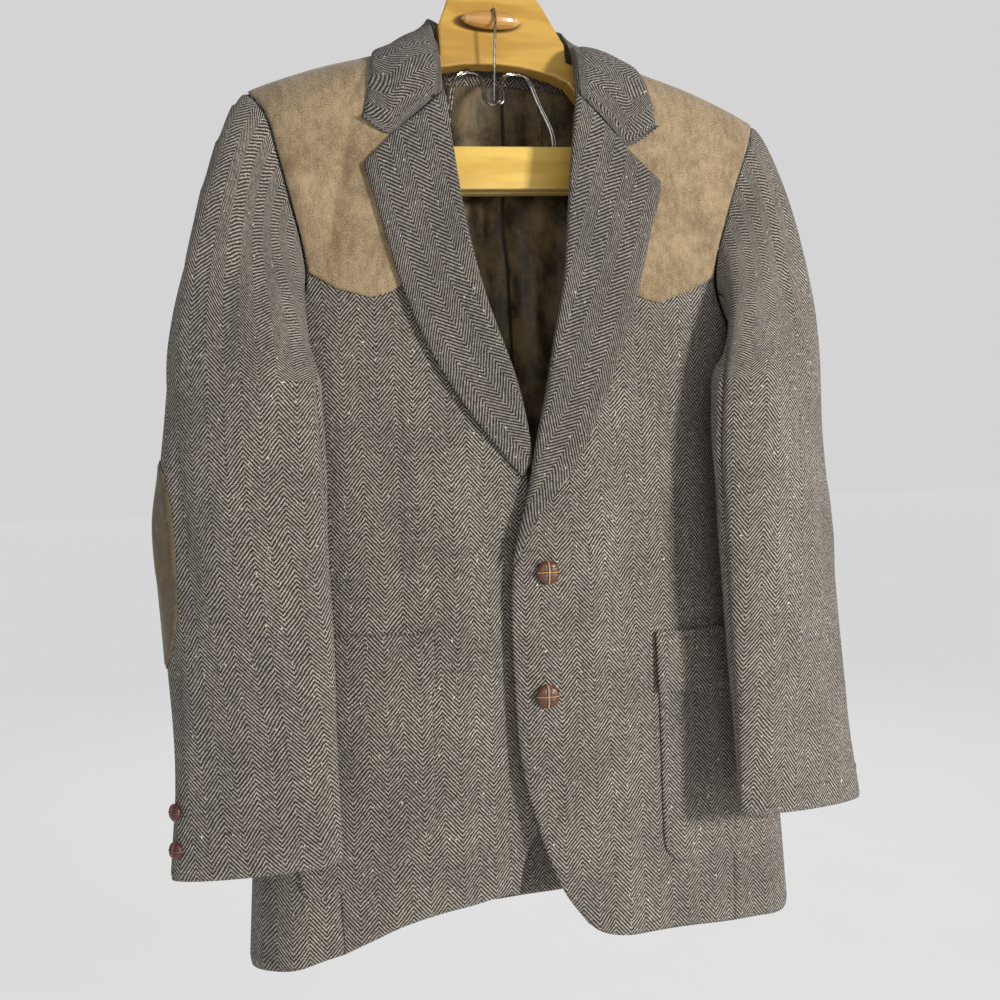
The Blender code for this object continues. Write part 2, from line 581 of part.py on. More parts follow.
def side_body(side):
    """The narrow panel under the arm, from the front seam round the side to the back seam."""
    columns = 8
    first = seam_points(side, FRONT, SIDE_HEM[side][0, 1])
    last = seam_points(side, BACK, BACK_HEM_Z)
    first[:, 0] += GAP_T
    last[:, 0] = 2.0 - last[:, 0] - GAP_T
    arm_front = to_turn(side, ARMHOLE[side, FRONT][6:] * [side, 1])
    arm_back = to_turn(side, ARMHOLE[side, BACK][4:] * [side, 1])[::-1]
    arm_back[:, 0] = 2.0 - arm_back[:, 0]
    middle = np.array([[1.0, UNDERARM_Z - 0.002]])
    top = along(np.vstack([arm_front, middle, arm_back]), np.linspace(0.0, 1.0, columns), 1.0)
    top[0], top[-1] = first[0], last[0]
    low_t = np.linspace(first[-1, 0], last[-1, 0], columns)
    low_z = column(SIDE_HEM[side], 1, np.linspace(0.0, 1.0, columns))
    low = np.stack([low_t, low_z], -1)
    low[0], low[-1] = first[-1], last[-1]
    grid = coons(top, low, first, last, SEAM_V)
    t, z = grid[..., 0], grid[..., 1]
    behind = (t > 1.0)[..., None]
    t_back = 2.0 - t
    here = np.where(behind, body(side, BACK, t_back, z), body(side, FRONT, t, z))
    normal_front = body_normal(side, FRONT, np.minimum(t, 1.0), z)
    normal_back = body_normal(side, BACK, np.minimum(t_back, 1.0), z)
    n = np.where(behind, normal_back, normal_front)
    wall("side_body_" + SIDE_NAME[side], here, here - n * CLOTH, TWEED)


def back(side):
    columns = 7
    rows = len(PANEL_V)
    armhole = ARMHOLE[side, BACK]
    last = inset(outer_points(side, BACK, BACK_HEM_Z), -GAP_T)
    x = np.linspace(0.0735, armhole[0, 0], columns) * side
    top = to_turn(side, np.stack([x, ridge(x)], -1))
    top[-1] = last[0]
    neck = BACK_NECK * [side, 1.0]
    neck = to_turn(side, neck) + [CENTRE_GAP_T, 0.0]
    centre_z = neck[0, 1] + (BACK_HEM_Z - neck[0, 1]) * PANEL_V
    centre = np.stack([np.full(rows, CENTRE_GAP_T), centre_z], -1)
    top = along(np.vstack([neck, top]), np.linspace(0.0, 1.0, columns + 4), 0.5)
    top[0], top[-1] = centre[0], last[0]
    low = np.stack([np.linspace(centre[-1, 0], last[-1, 0], columns + 4),
                    np.full(columns + 4, BACK_HEM_Z)], -1)
    grid = coons(top, low, centre, last, PANEL_V)
    t, z = grid[..., 0], grid[..., 1]
    n = body_normal(side, BACK, t, z)
    outer = body(side, BACK, t, z)
    on_shoulder_seam(outer, n, np.abs(outer[0, :, 0]) > NECK_POINT_X, BACK)
    wall("back_" + SIDE_NAME[side], outer, outer - n * CLOTH, TWEED)


def lapel(side):
    rows = 22
    shape = LAPEL[side]
    v = np.linspace(0.0, 1.0, rows)
    inner = along(shape["roll"], v)
    outer_edge = along(shape["outer"], v)
    gorge = np.array([shape["gorge"][0], *along(shape["gorge"][:3], [0.5, 1.0]), shape["gorge"][3]])
    share = np.array([0.0, 0.36, 0.68, 1.0])
    straight = gorge[0] + (gorge[-1] - gorge[0]) * share[:, None]
    bend = gorge - straight
    grid = []
    for r in range(rows):
        fade = max(0.0, 1.0 - 2.2 * v[r]) ** 2
        line = inner[r] + (outer_edge[r] - inner[r]) * share[:, None] + bend * fade
        grid.append(line)
    grid = np.array(grid)
    x, z = grid[..., 0], grid[..., 1]
    stand_off = LAPEL_LIFT + CLOTH + np.array([0.0012, 0.0006, 0.0014, 0.0030]) \
        * smooth(1.0, 0.75, v)[:, None]
    t = turn_of(side, x, z)
    flat = body(side, FRONT, t, z)
    n = body_normal(side, FRONT, t, z)
    top = flat + n * stand_off[..., None]
    # the fold: past the panel's edge and round to its inside
    toward = top[:, 0] - top[:, 1]
    toward /= np.linalg.norm(toward, axis=-1, keepdims=True)
    tuck = smooth(1.0, 0.84, v)[:, None]
    roll_1 = flat[:, 0] + toward * LAPEL_ROLL + n[:, 0] * (0.0040 - 0.0024 * tuck)
    roll_2 = flat[:, 0] + toward * (LAPEL_ROLL + 0.0002 + 0.0016 * (1.0 - tuck))
    roll_2 = roll_2 + n[:, 0] * (0.0034 - 0.0046 * tuck)
    outer = np.concatenate([roll_2[:, None], roll_1[:, None], top], axis=1)
    normals = grid_normals(outer) * side
    if np.sum(normals[:, 3] * n[:, 1]) < 0:
        normals = -normals
    wall("lapel_" + SIDE_NAME[side], outer, outer - normals * CLOTH, TWEED)


def clear_of_body(point, height):
    """Pushes a collar point out until it is a height clear of the round shoulder or the chest."""
    x, y, z = point
    side = RIGHT if x < 0 else LEFT
    face = FRONT if y < 0.0 else BACK
    middle = float(ridge(x)) - SHOULDER_ROUND
    level = min(z, middle)
    t = float(turn_of(side, x, level))
    depth = abs(body(side, face, t, level)[1]) + height
    if z <= middle:
        return np.array([x, face * max(abs(y), depth), z])
    reach = np.hypot(y / depth, (z - middle) / (SHOULDER_ROUND + height))
    if reach >= 1.0:
        return point
    return np.array([x, y / reach, middle + (z - middle) / reach])


def collar():
    rows_half, fall = 18, 5
    share = np.linspace(0.0, 1.0, rows_half)
    halves = []
    for side in (RIGHT, LEFT):
        table = np.hstack([along(COLLAR[side][:, k:k + 3], share) for k in (0, 3, 6)])
        end = COLLAR_END[side]
        rows = []
        for r in range(rows_half):
            foot, fold, edge = table[r, :3], table[r, 3:6], table[r, 6:]
            fade = smooth(0.60, 1.0, share[r])
            middle = 0.5 * (foot + fold) + np.array([-0.0012, 0.0, 0.0])
            line = [foot, middle, fold]
            crown = fold + (edge - fold) * 0.12 + np.array([0.0, 0.0, 0.0030 * (1 - fade)])
            line.append(crown)
            for k in range(1, fall + 1):
                free = fold + (edge - fold) * (k / fall)
                free = free + np.array([0.0, 0.0, FALL_RISE * np.sin(np.pi * k / fall)])
                line.append(free)
            if fade > 0:
                flat = [end[0] + STAND_FOOT, end[0] + 0.6 * STAND_FOOT, end[0],
                        end[0] + (end[1] - end[0]) * 0.2, end[0] + (end[1] - end[0]) * 0.6,
                        end[1], 0.5 * (end[1] + end[2]), end[2], end[3]]
                line = [p + fade ** 1.5 * (np.array([q[0], p[1], q[1]]) - p) if r == rows_half - 1
                        or k > 2 else p for k, (p, q) in enumerate(zip(line, flat))]
            signed = []
            for k, p in enumerate(line):
                q = np.array([side * p[0], p[1], p[2]])
                if k >= 2:
                    q = clear_of_body(q, COLLAR_CLEAR[k - 2])
                signed.append(q)
            rows.append(signed)
        halves.append(np.array(rows))
    grid = np.concatenate([halves[0][::-1], halves[1][1:]], axis=0)
    normals = grid_normals(grid)
    if np.mean(normals[rows_half - 1, 0] * [0, 1, 0]) > 0:
        normals = -normals
    wall("collar", grid, grid - normals * COLLAR_CLOTH, TWEED)


def sleeve_surface(side, turn, run):
    """A point of the sleeve: turn in half turns from the outermost line (positive towards the
    front), run from the armhole (0) over the upper arm (0.3) to the cuff (1)."""
    table = SLEEVE[side]
    turn, run = np.broadcast_arrays(np.asarray(turn, float), np.asarray(run, float))
    angle = (turn + PITCH) * np.pi
    upper = 0.30

    def ring(height):
        mid_x, mid_y = column(table, 1, height), column(table, 2, height)
        wide, deep = column(table, 3, height), column(table, 4, height)
        lean = np.radians(column(table, 5, height))
        a, b = wide * np.cos(angle), -deep * np.sin(angle)
        x = mid_x + a * np.cos(lean) - b * np.sin(lean)
        y = mid_y + a * np.sin(lean) + b * np.cos(lean)
        hang = -CUFF_TILT * np.cos(angle) * smooth(-0.50, -0.66, height)
        return np.stack([side * x, y, height + hang], -1)

    top_z, low_z = table[0, 0], table[-1, 0]
    reach = np.clip((run - upper) / (1 - upper), 0.0, 1.0)
    hanging = ring(top_z + (low_z - top_z) * reach)
    # armhole: crown at turn 0, front at 0.5, underarm at 1, back at -0.5
    share = np.abs((turn + 1.0) % 2.0 - 1.0)
    arm = np.where(((turn + 1.0) % 2.0 - 1.0 >= 0.0)[..., None],
                   armhole_point(side, FRONT, share), armhole_point(side, BACK, share))
    forward = smooth(0.35, 0.70, turn % 2.0) * smooth(1.30, 0.90, turn % 2.0)
    under = smooth(0.85, 1.15, turn % 2.0) * smooth(1.75, 1.45, turn % 2.0)
    out = np.stack([side * (1.0 - 0.85 * forward), -0.18 - 0.85 * forward + 0.15 * under,
                    -0.15 * np.cos(turn * np.pi) - 0.03], -1)
    out /= np.linalg.norm(out, axis=-1, keepdims=True)
    arm = arm + out * 0.0018
    ring_top = ring(np.full(turn.shape, top_z))
    span = np.linalg.norm(ring_top - arm, axis=-1, keepdims=True)
    sides = 0.5 - 0.5 * np.cos(turn * np.pi)
    p1 = arm + out * span * (CROWN_REACH + 0.14 * sides + 0.28 * under)[..., None]
    aside = np.stack([side * 0.020 * under, 0.0 * under, 0.0 * under], -1)
    p2 = ring_top + np.array([0.0, 0.0, 1.0]) * span * ARM_FALL + aside
    s = np.clip(run / upper, 0.0, 1.0)[..., None]
    head = (1 - s) ** 3 * arm + 3 * s * (1 - s) ** 2 * p1 + 3 * s * s * (1 - s) * p2 + s ** 3 * ring_top
    return np.where((run < upper)[..., None], head, hanging)


def armhole_point(side, face, share):
    """A point of the armhole seam, share 0 at the shoulder to 1 at the underarm."""
    table = ARMHOLE[side, face].copy()
    table[:, 0] *= side
    turns = to_turn(side, along(table, np.linspace(0.0, 1.0, 41)))
    turns = np.vstack([turns, [[1.0, UNDERARM_Z]]])
    turns[:, 0] = np.minimum(turns[:, 0], 1.0)
    points = body(side, face, turns[:, 0], turns[:, 1])
    length = np.concatenate([[0.0], np.cumsum(np.linalg.norm(np.diff(points, axis=0), axis=1))])
    length /= length[-1]
    return np.stack([np.interp(share, length, points[:, k]) for k in range(3)], -1)


def sleeve_normals(side, turn, run):
    h = 0.004
    across = sleeve_surface(side, turn + h, run) - sleeve_surface(side, turn - h, run)
    ahead = sleeve_surface(side, turn, np.clip(run + h, 0, 1))
    down = ahead - sleeve_surface(side, turn, np.clip(run - h, 0, 1))
    n = np.cross(across, down) * side
    return n / np.linalg.norm(n, axis=-1, keepdims=True)


SLEEVE_RUNS = np.array([0.0, 0.04, 0.09, 0.14, 0.19, 0.24, 0.30, 0.38, 0.46, 0.54, 0.62, 0.70,
                        0.78, 0.86, 0.93, 1.0])
SEAM_TURN = 0.0030           # half a seam's gap in half turns


def sleeve(side):
    """Top sleeve and under sleeve, which meet at the front seam and at the elbow seam."""
    run = SLEEVE_RUNS
    back_seam = column(BACK_SEAM, 1, run)
    front_seam = column(FRONT_SEAM, 1, run)
    for name, first, last, columns in (
            ("sleeve_top_", back_seam, front_seam, 10),
            ("sleeve_under_", front_seam, back_seam + 2.0, 9)):
        u = np.linspace(0.0, 1.0, columns)
        turn = (first + SEAM_TURN)[:, None] * (1 - u) + (last - SEAM_TURN)[:, None] * u
        runs = np.repeat(run[:, None], columns, axis=1)
        outer = sleeve_surface(side, turn, runs)
        n = sleeve_normals(side, turn, runs)
        wall(name + SIDE_NAME[side], outer, outer - n * CLOTH, TWEED)


def elbow_patch(side):
    """A suede oval on the back of the elbow, made from the sleeve's own points."""
    rings, spokes = 3, 14
    table = SLEEVE[side]
    top_z, low_z = table[0, 0], table[-1, 0]
    run_of = [0.30 + 0.70 * (z - top_z) / (low_z - top_z) for z in (PATCH_TOP, PATCH_LOW)]
    middle, half = 0.5 * (run_of[0] + run_of[1]), 0.5 * (run_of[1] - run_of[0])
    angle = 2 * np.pi * np.arange(spokes) / spokes
    scale = np.linspace(0.0, 1.0, rings + 1)[1:]
    power = 0.86
    round_x = np.sign(np.cos(angle)) * np.abs(np.cos(angle)) ** power
    round_y = np.sign(np.sin(angle)) * np.abs(np.sin(angle)) ** power
    turn = PATCH_MIDDLE[side] + PATCH_HALF * scale[:, None] * round_x
    run = middle + half * scale[:, None] * round_y
    turn = np.concatenate([[PATCH_MIDDLE[side]], turn.ravel()])
    run = np.concatenate([[middle], run.ravel()])
    n = sleeve_normals(side, turn, run)
    base = sleeve_surface(side, turn, run)
    low, top = base + n * PATCH_LIFT, base + n * (PATCH_LIFT + SUEDE)
    count = len(base)
    faces = []
    for layer, flip in ((0, False), (count, True)):
        for s in range(spokes):
            nxt = (s + 1) % spokes
            tri = (layer, layer + 1 + s, layer + 1 + nxt)
            faces.append(tri[::-1] if flip else tri)
            for r in range(rings - 1):
                a, b = 1 + r * spokes + s, 1 + r * spokes + nxt
                quad = (layer + a, layer + a + spokes, layer + b + spokes, layer + b)
                faces.append(quad[::-1] if flip else quad)
    rim = 1 + (rings - 1) * spokes
    for s in range(spokes):
        a, b = rim + s, rim + (s + 1) % spokes
        faces.append((a, count + a, count + b, b))
    solid("elbow_patch_" + SIDE_NAME[side], np.vstack([top, low]), faces, TAN_SUEDE)


def yoke(side):
    """Suede shoulder yoke with a pointed lower edge, laid on the front."""
    rows, columns = 12, 9
    v = np.linspace(0.0, 1.0, rows) ** 1.4
    armhole = ARMHOLE[side, FRONT]
    low_line = YOKE_LOW[side]
    arm_line = np.vstack([armhole[:5] - [0.0012, 0.0], low_line[:1] - [0.0004, 0.0]])
    last = side_points(side, arm_line, v)
    under_lapel = np.array([[YOKE_TOP_X, float(ridge(YOKE_TOP_X))], [0.105, -0.040],
                            [0.0900, -0.085], [low_line[-1, 0], -0.140], low_line[-1]])
    first = side_points(side, under_lapel, v)
    x = np.linspace(YOKE_TOP_X, arm_line[0, 0], columns) * side
    top = to_turn(side, np.stack([x, ridge(x)], -1))
    low_x = np.interp(np.linspace(0, 1, columns), np.linspace(0, 1, 5), low_line[::-1, 0])
    low_z = np.interp(np.linspace(0, 1, columns), np.linspace(0, 1, 5), low_line[::-1, 1])
    low = to_turn(side, np.stack([low_x * side, low_z], -1))
    top[0], top[-1], low[0], low[-1] = first[0], last[0], first[-1], last[-1]
    grid = coons(top, low, first, last, v)
    grid[..., 1] = np.minimum(grid[..., 1], ridge(body(side, FRONT, grid[..., 0],
                                                       grid[..., 1])[..., 0]) - 0.0012)
    t, z = grid[..., 0], grid[..., 1]
    n = body_normal(side, FRONT, t, z)
    base = body(side, FRONT, t, z)
    wall("yoke_" + SIDE_NAME[side], base + n * (YOKE_LIFT + SUEDE), base + n * YOKE_LIFT, TAN_SUEDE)


def pocket(side):
    """Patch pocket with round lower corners and the flap over its mouth."""
    shape = POCKET[side]
    rows, columns = 9, 10
    width = shape["x1"] - shape["x0"]
    u = np.linspace(0.0, 1.0, columns)
    radius = shape["radius"]
    mouth = shape["top"] - POCKET_MOUTH_DROP
    low = shape["low"] + shape["low_tilt"] * u
    corner = np.maximum(0.0, radius - np.minimum(u, 1 - u) * width)
    rise = radius - np.sqrt(np.maximum(0.0, radius ** 2 - corner ** 2))
    low = low + rise * 0.9
    v = np.linspace(0.0, 1.0, rows)[:, None]
    z = mouth + (low - mouth)[None] * v
    x = shape["x0"] + width * u[None] + 0.0 * v
    side_panel_points(side, "pocket_", x, z, POCKET_LIFT, POCKET_CLOTH)
    flap_top = shape["top"]
    deep = shape["flap0"] + (shape["flap1"] - shape["flap0"]) * u
    rows = 5
    v = np.linspace(0.0, 1.0, rows)[:, None]
    z = flap_top - deep[None] * v
    x = shape["x0"] - FLAP_OVERHANG + (width + 2 * FLAP_OVERHANG) * u[None] + 0.0 * v
    lift = POCKET_LIFT + POCKET_CLOTH + SKIN + 0.0016 * v * (1.2 - u)[None]
    side_panel_points(side, "flap_", x, z, lift, CLOTH)


def side_panel_points(side, name, x, z, height, thickness):
    """A wall laid on the front at a height; x is a distance that runs on round the side."""
    t = turn_of(side, side * x, z)
    base = body(side, FRONT, t, z)
    n = body_normal(side, FRONT, t, z)
    height = np.broadcast_to(height, x.shape)[..., None]
    low = base + n * height
    wall(name + SIDE_NAME[side], low + n * thickness, low, TWEED)


def lining():
    """Satin inside the back, as far down as the open front shows it, with its centre pleat."""
    rows, columns = 12, 13
    x = np.linspace(-LINING_HALF, LINING_HALF, columns)[None]
    top = np.minimum(LINING_TOP, ridge(x) - LINING_BELOW_SEAM)
    z = top + (LINING_LOW - top) * np.linspace(0.0, 1.0, rows)[:, None] ** 1.3
    x, z = np.broadcast_arrays(x, z)
    t = turn_of(LEFT, x, z)
    base = body(LEFT, BACK, t, z)
    n = body_normal(LEFT, BACK, t, z)
    sag = LINING_GAP + 0.0074 * smooth(-0.02, -0.20, z) * (1 - smooth(0.06, 0.15, np.abs(x)))
    pleat = 0.0040 * np.exp(-((x - 0.003) / 0.010) ** 2) * smooth(-0.02, -0.10, z)
    outer = base - n * (CLOTH + sag + pleat)[..., None]
    wall("lining_back", outer, outer - n * SATIN, OLIVE_SATIN)


# ---- buttons ---------------------------------------------------------------------------------
def button(name, centre, normal, radius, dome, look):
    """A domed leather button: a low back, a round edge and a domed face."""
    profile = [(0.0, 0.0), (0.72, 0.0), (0.94, 0.20), (1.0, 0.42), (0.93, 0.66), (0.70, 0.88),
               (0.38, 0.98), (0.0, 1.0)]
    spokes = 18
    axis = Vector(normal).normalized()
    frame = axis.to_track_quat("Z", "Y").to_matrix()
    points = []
    for r, h in profile:
        if r == 0.0:
            points.append(np.array(centre) + np.array(frame @ Vector((0, 0, h * dome))))
        else:
            for s in range(spokes):
                a = 2 * np.pi * s / spokes
                local = Vector((r * radius * np.cos(a), r * radius * np.sin(a), h * dome))
                points.append(np.array(centre) + np.array(frame @ local))
    faces = [(0, 1 + (s + 1) % spokes, 1 + s) for s in range(spokes)]
    for ring in range(len(profile) - 3):
        for s in range(spokes):
            a, b = 1 + ring * spokes + s, 1 + ring * spokes + (s + 1) % spokes
            faces.append((a, b, b + spokes, a + spokes))
    last = len(points) - 1
    rim = 1 + (len(profile) - 3) * spokes
    faces += [(last, rim + s, rim + (s + 1) % spokes) for s in range(spokes)]
    solid(name, points, faces, look, crisp=60.0)


def buttons():
    for k, (x, z) in enumerate(FRONT_BUTTONS):
        t = float(turn_of(LEFT, x, z))
        base = body(LEFT, FRONT, t, z)
        n = body_normal(LEFT, FRONT, t, z)
        button(f"button_front_{k + 1}", base + n * SKIN, n, BUTTON_RADIUS, BUTTON_DOME, LEATHER)
    for side in (RIGHT, LEFT):
        table = SLEEVE[side]
        top_z, low_z = table[0, 0], table[-1, 0]
        for k, rise in enumerate(CUFF_BUTTON_Z):
            run = 0.30 + 0.70 * (low_z + rise - top_z) / (low_z - top_z)
            turn = float(column(BACK_SEAM, 1, run)) + CUFF_BUTTON_TURN[side]
            base = sleeve_surface(side, turn, run)
            n = sleeve_normals(side, turn, run)
            button(f"button_cuff_{SIDE_NAME[side]}_{k + 1}", base + n * SKIN, n,
                   CUFF_BUTTON_RADIUS, CUFF_BUTTON_DOME, DARK_LEATHER)


# ---- the hanger ------------------------------------------------------------------------------
def plank(name, outline, front_y, back_y, look, bevel):
    """A board cut to an outline in X and Z, its long edges eased."""
    form = bmesh.new()
    ring = [form.verts.new((x - ORIGIN[0], front_y - ORIGIN[1], z - ORIGIN[2])) for x, z in outline]
    face = form.faces.new(ring)
    moved = bmesh.ops.extrude_face_region(form, geom=[face])["geom"]
    verts = [g for g in moved if isinstance(g, bmesh.types.BMVert)]
    bmesh.ops.translate(form, verts=verts, vec=(0.0, back_y - front_y, 0.0))
    bmesh.ops.recalc_face_normals(form, faces=form.faces)
    long_edges = [e for e in form.edges if abs(e.verts[0].co.y - e.verts[1].co.y) < 1e-6]
    bmesh.ops.bevel(form, geom=long_edges, offset=bevel, segments=2, profile=0.5, affect="EDGES")
    bmesh.ops.triangulate(form, faces=form.faces)
    mesh = bpy.data.meshes.new(name)
    form.to_mesh(mesh)
    form.free()
    mesh.shade_smooth()
    mesh.set_sharp_from_angle(angle=np.radians(35.0))
    mesh.materials.append(material(name, look))
    piece = bpy.data.objects.new(name, mesh)
    bpy.context.scene.collection.objects.link(piece)


def wire(name, route, radius, look=STEEL, samples=30):
    """A round wire along a smooth route."""
    points = along(np.array(route, float), np.linspace(0.0, 1.0, samples)) - ORIGIN
    curve = bpy.data.curves.new(name, "CURVE")
    curve.dimensions = "3D"
    curve.bevel_depth = radius
    curve.bevel_resolution = 1
    curve.use_fill_caps = True
    spline = curve.splines.new("POLY")
    spline.points.add(samples - 1)
    for k, p in enumerate(points):
        spline.points[k].co = (*p, 1.0)
    curve.materials.append(material(name, look, metallic=1.0))
    piece = bpy.data.objects.new(name, curve)
    bpy.context.scene.collection.objects.link(piece)


def hanger():
    outline = []
    for side in (LEFT, RIGHT):
        arm = [(side * x + BAR_X, float(ridge(side * x + BAR_X)) - drop)
               for x, drop, deep in HANGER_ARM]
        under = [(side * x + BAR_X, float(ridge(side * x + BAR_X)) - drop - deep)
                 for x, drop, deep in HANGER_ARM[::-1]]
        half = [*HANGER_HEAD[side], *arm, *under, *HANGER_ARCH[side]]
        outline += half if side == LEFT else half[::-1]
    plank("hanger_board", outline, BOARD_FRONT, BOARD_BACK, MAPLE, 0.0020)
    bend_z = HOOK_RISE - HOOK_BEND + HOOK_WIRE
    turns = np.radians(np.linspace(-48.0, 205.0, 15))
    circle = [(HANGER_X + HOOK_BEND * np.cos(a), 0.0, bend_z + HOOK_BEND * np.sin(a)) for a in turns]
    stem = [(HANGER_X, 0.0, 0.0646), (HANGER_X, 0.0, 0.0730), (HANGER_X + 0.0030, 0.0, 0.0820)]
    wire("hanger_hook", stem + circle, HOOK_WIRE, samples=46)
    low, high = BAR_FACES
    for name, y0, y1 in (("trouser_bar_front", -high, -low), ("trouser_bar_back", low, high)):
        bar = [(BAR_X + x, z + BAR_SLOPE * (BAR_X + x)) for x, z in (
            (-BAR_HALF, BAR_TOP), (BAR_HALF, BAR_TOP), (BAR_HALF, BAR_LOW), (-BAR_HALF, BAR_LOW))]
        plank(name, bar, y0, y1, MAPLE, 0.0020)
    spindle(TOGGLE_X)
    wire("toggle_wire", PULL_WIRE, CLAMP_WIRE)
    for side in (RIGHT, LEFT):
        wire("clamp_leg_" + SIDE_NAME[side], CLAMP_LEG[side], CLAMP_WIRE)
        wire("bar_wire_" + SIDE_NAME[side], BAR_HANGER[side], BAR_WIRE, samples=12)


def spindle(x):
    """The turned wooden handle of the clamp, lying across the front of the board."""
    rings, spokes = 12, 14
    y = BOARD_FRONT - TOGGLE_RADIUS - 0.0006
    points = [np.array([x - TOGGLE_HALF, y, TOGGLE_Z])]
    for r in range(1, rings):
        s = -1.0 + 2.0 * r / rings
        radius = TOGGLE_RADIUS * (1 - abs(s) ** 2.2) ** 0.62
        for k in range(spokes):
            a = 2 * np.pi * k / spokes
            points.append(np.array([x + TOGGLE_HALF * s, y + radius * np.cos(a),
                                    TOGGLE_Z + radius * np.sin(a)]))
    points.append(np.array([x + TOGGLE_HALF, y, TOGGLE_Z]))
    faces = [(0, 1 + k, 1 + (k + 1) % spokes) for k in range(spokes)]
    for r in range(rings - 2):
        for k in range(spokes):
            a, b = 1 + r * spokes + k, 1 + r * spokes + (k + 1) % spokes
            faces.append((a, a + spokes, b + spokes, b))
    last, rim = len(points) - 1, 1 + (rings - 2) * spokes
    faces += [(last, rim + (k + 1) % spokes, rim + k) for k in range(spokes)]
    solid("toggle", points, faces, MAPLE, crisp=60.0)


SIDE_NAME = {RIGHT: "right", LEFT: "left"}


def clear_scene():
    for piece in list(bpy.data.objects):
        bpy.data.objects.remove(piece, do_unlink=True)


def main():
    clear_scene()
    for side in (RIGHT, LEFT):
        front(side)
        side_body(side)
        back(side)
        lapel(side)
        sleeve(side)
        elbow_patch(side)
        yoke(side)
        pocket(side)
    collar()
    lining()
    buttons()
    hanger()


main()
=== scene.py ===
"""Looks of the tweed hacking jacket on its hanger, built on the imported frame."""

import bmesh
import bpy
import numpy as np
from mathutils import Matrix, Vector


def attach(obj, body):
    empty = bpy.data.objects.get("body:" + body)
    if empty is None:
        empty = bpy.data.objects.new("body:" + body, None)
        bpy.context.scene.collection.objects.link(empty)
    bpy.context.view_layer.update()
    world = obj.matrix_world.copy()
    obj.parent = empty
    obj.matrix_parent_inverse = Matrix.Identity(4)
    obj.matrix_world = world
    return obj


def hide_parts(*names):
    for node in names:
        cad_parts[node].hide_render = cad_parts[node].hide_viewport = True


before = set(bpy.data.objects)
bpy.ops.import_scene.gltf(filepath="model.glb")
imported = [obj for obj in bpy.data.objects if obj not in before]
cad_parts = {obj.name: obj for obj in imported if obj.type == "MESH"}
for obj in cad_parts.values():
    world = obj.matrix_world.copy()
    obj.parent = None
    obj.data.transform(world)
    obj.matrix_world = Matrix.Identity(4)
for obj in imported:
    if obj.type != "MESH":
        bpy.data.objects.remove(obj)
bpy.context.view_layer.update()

# ---- driving sizes ---------------------------------------------------------------------------
HOOK_RISE = 0.130            # inside top of the hook above the neck point
HANGER_X = -0.0090           # the hanger sits this far to the wearer's right of the centre back
ORIGIN = np.array([HANGER_X, 0.0, HOOK_RISE])

CLOTH = 0.0020               # tweed
SUEDE = 0.0012               # yokes and elbow patches
SATIN = 0.0010               # back lining
COLLAR_CLOTH = 0.0022        # two layers and canvas
SEAM = 0.00020               # half of the gap at each seam
SKIN = 0.00035               # gap under a piece that lies on a panel

SHOULDER_ROUND = 0.050       # height over which the front rounds over to the shoulder seam
SECTION_POWER = 2.4          # superellipse power of a level section through the body
SECTION_ASPECT = 0.27        # depth of such a section over its half width
RIGHT, LEFT = -1, 1          # the wearer's sides, as the sign of X
SIDE_NAME = {RIGHT: "right", LEFT: "left"}
FRONT, BACK = -1, 1          # the faces of the body, as the sign of Y

# level sections through the body: height, half width, depth in front, depth behind
BODY = np.array([
    # z       half    front   behind
    [0.030,  0.248,  0.044,  0.040],
    [-0.050, 0.247,  0.046,  0.042],
    [-0.120, 0.240,  0.049,  0.047],
    [-0.200, 0.233,  0.055,  0.048],
    [-0.260, 0.221,  0.060,  0.046],
    [-0.340, 0.216,  0.066,  0.043],
    [-0.430, 0.219,  0.071,  0.041],
    [-0.520, 0.228,  0.074,  0.042],
    [-0.640, 0.240,  0.073,  0.046],
    [-0.780, 0.249,  0.069,  0.048],
])

# shoulder seam: distance from the centre, height
SHOULDER = np.array([
    # x       z
    [0.000,  0.018],
    [0.072,  0.013],
    [0.125, -0.002],
    [0.165, -0.013],
    [0.205, -0.027],
    [0.240, -0.041],
])

# armholes on the front and on the back, from the shoulder point to the underarm: x, z
ARMHOLE = {
    (RIGHT, FRONT): np.array([
        [0.2270, -0.037], [0.2130, -0.060], [0.2040, -0.094], [0.1945, -0.135],
        [0.1860, -0.175], [0.1850, -0.206], [0.1960, -0.236], [0.2130, -0.249],
    ]),
    (LEFT, FRONT): np.array([
        [0.2390, -0.040], [0.2260, -0.066], [0.2120, -0.097], [0.1965, -0.137],
        [0.1830, -0.175], [0.1810, -0.206], [0.1940, -0.236], [0.2120, -0.249],
    ]),
    (RIGHT, BACK): np.array([
        [0.2270, -0.037], [0.2180, -0.066], [0.2120, -0.105], [0.2090, -0.145],
        [0.2090, -0.182], [0.2120, -0.212], [0.2160, -0.234], [0.2190, -0.247],
    ]),
    (LEFT, BACK): np.array([
        [0.2390, -0.040], [0.2280, -0.068], [0.2180, -0.105], [0.2105, -0.145],
        [0.2095, -0.182], [0.2120, -0.212], [0.2160, -0.234], [0.2190, -0.247],
    ]),
}
UNDERARM_Z = -0.250

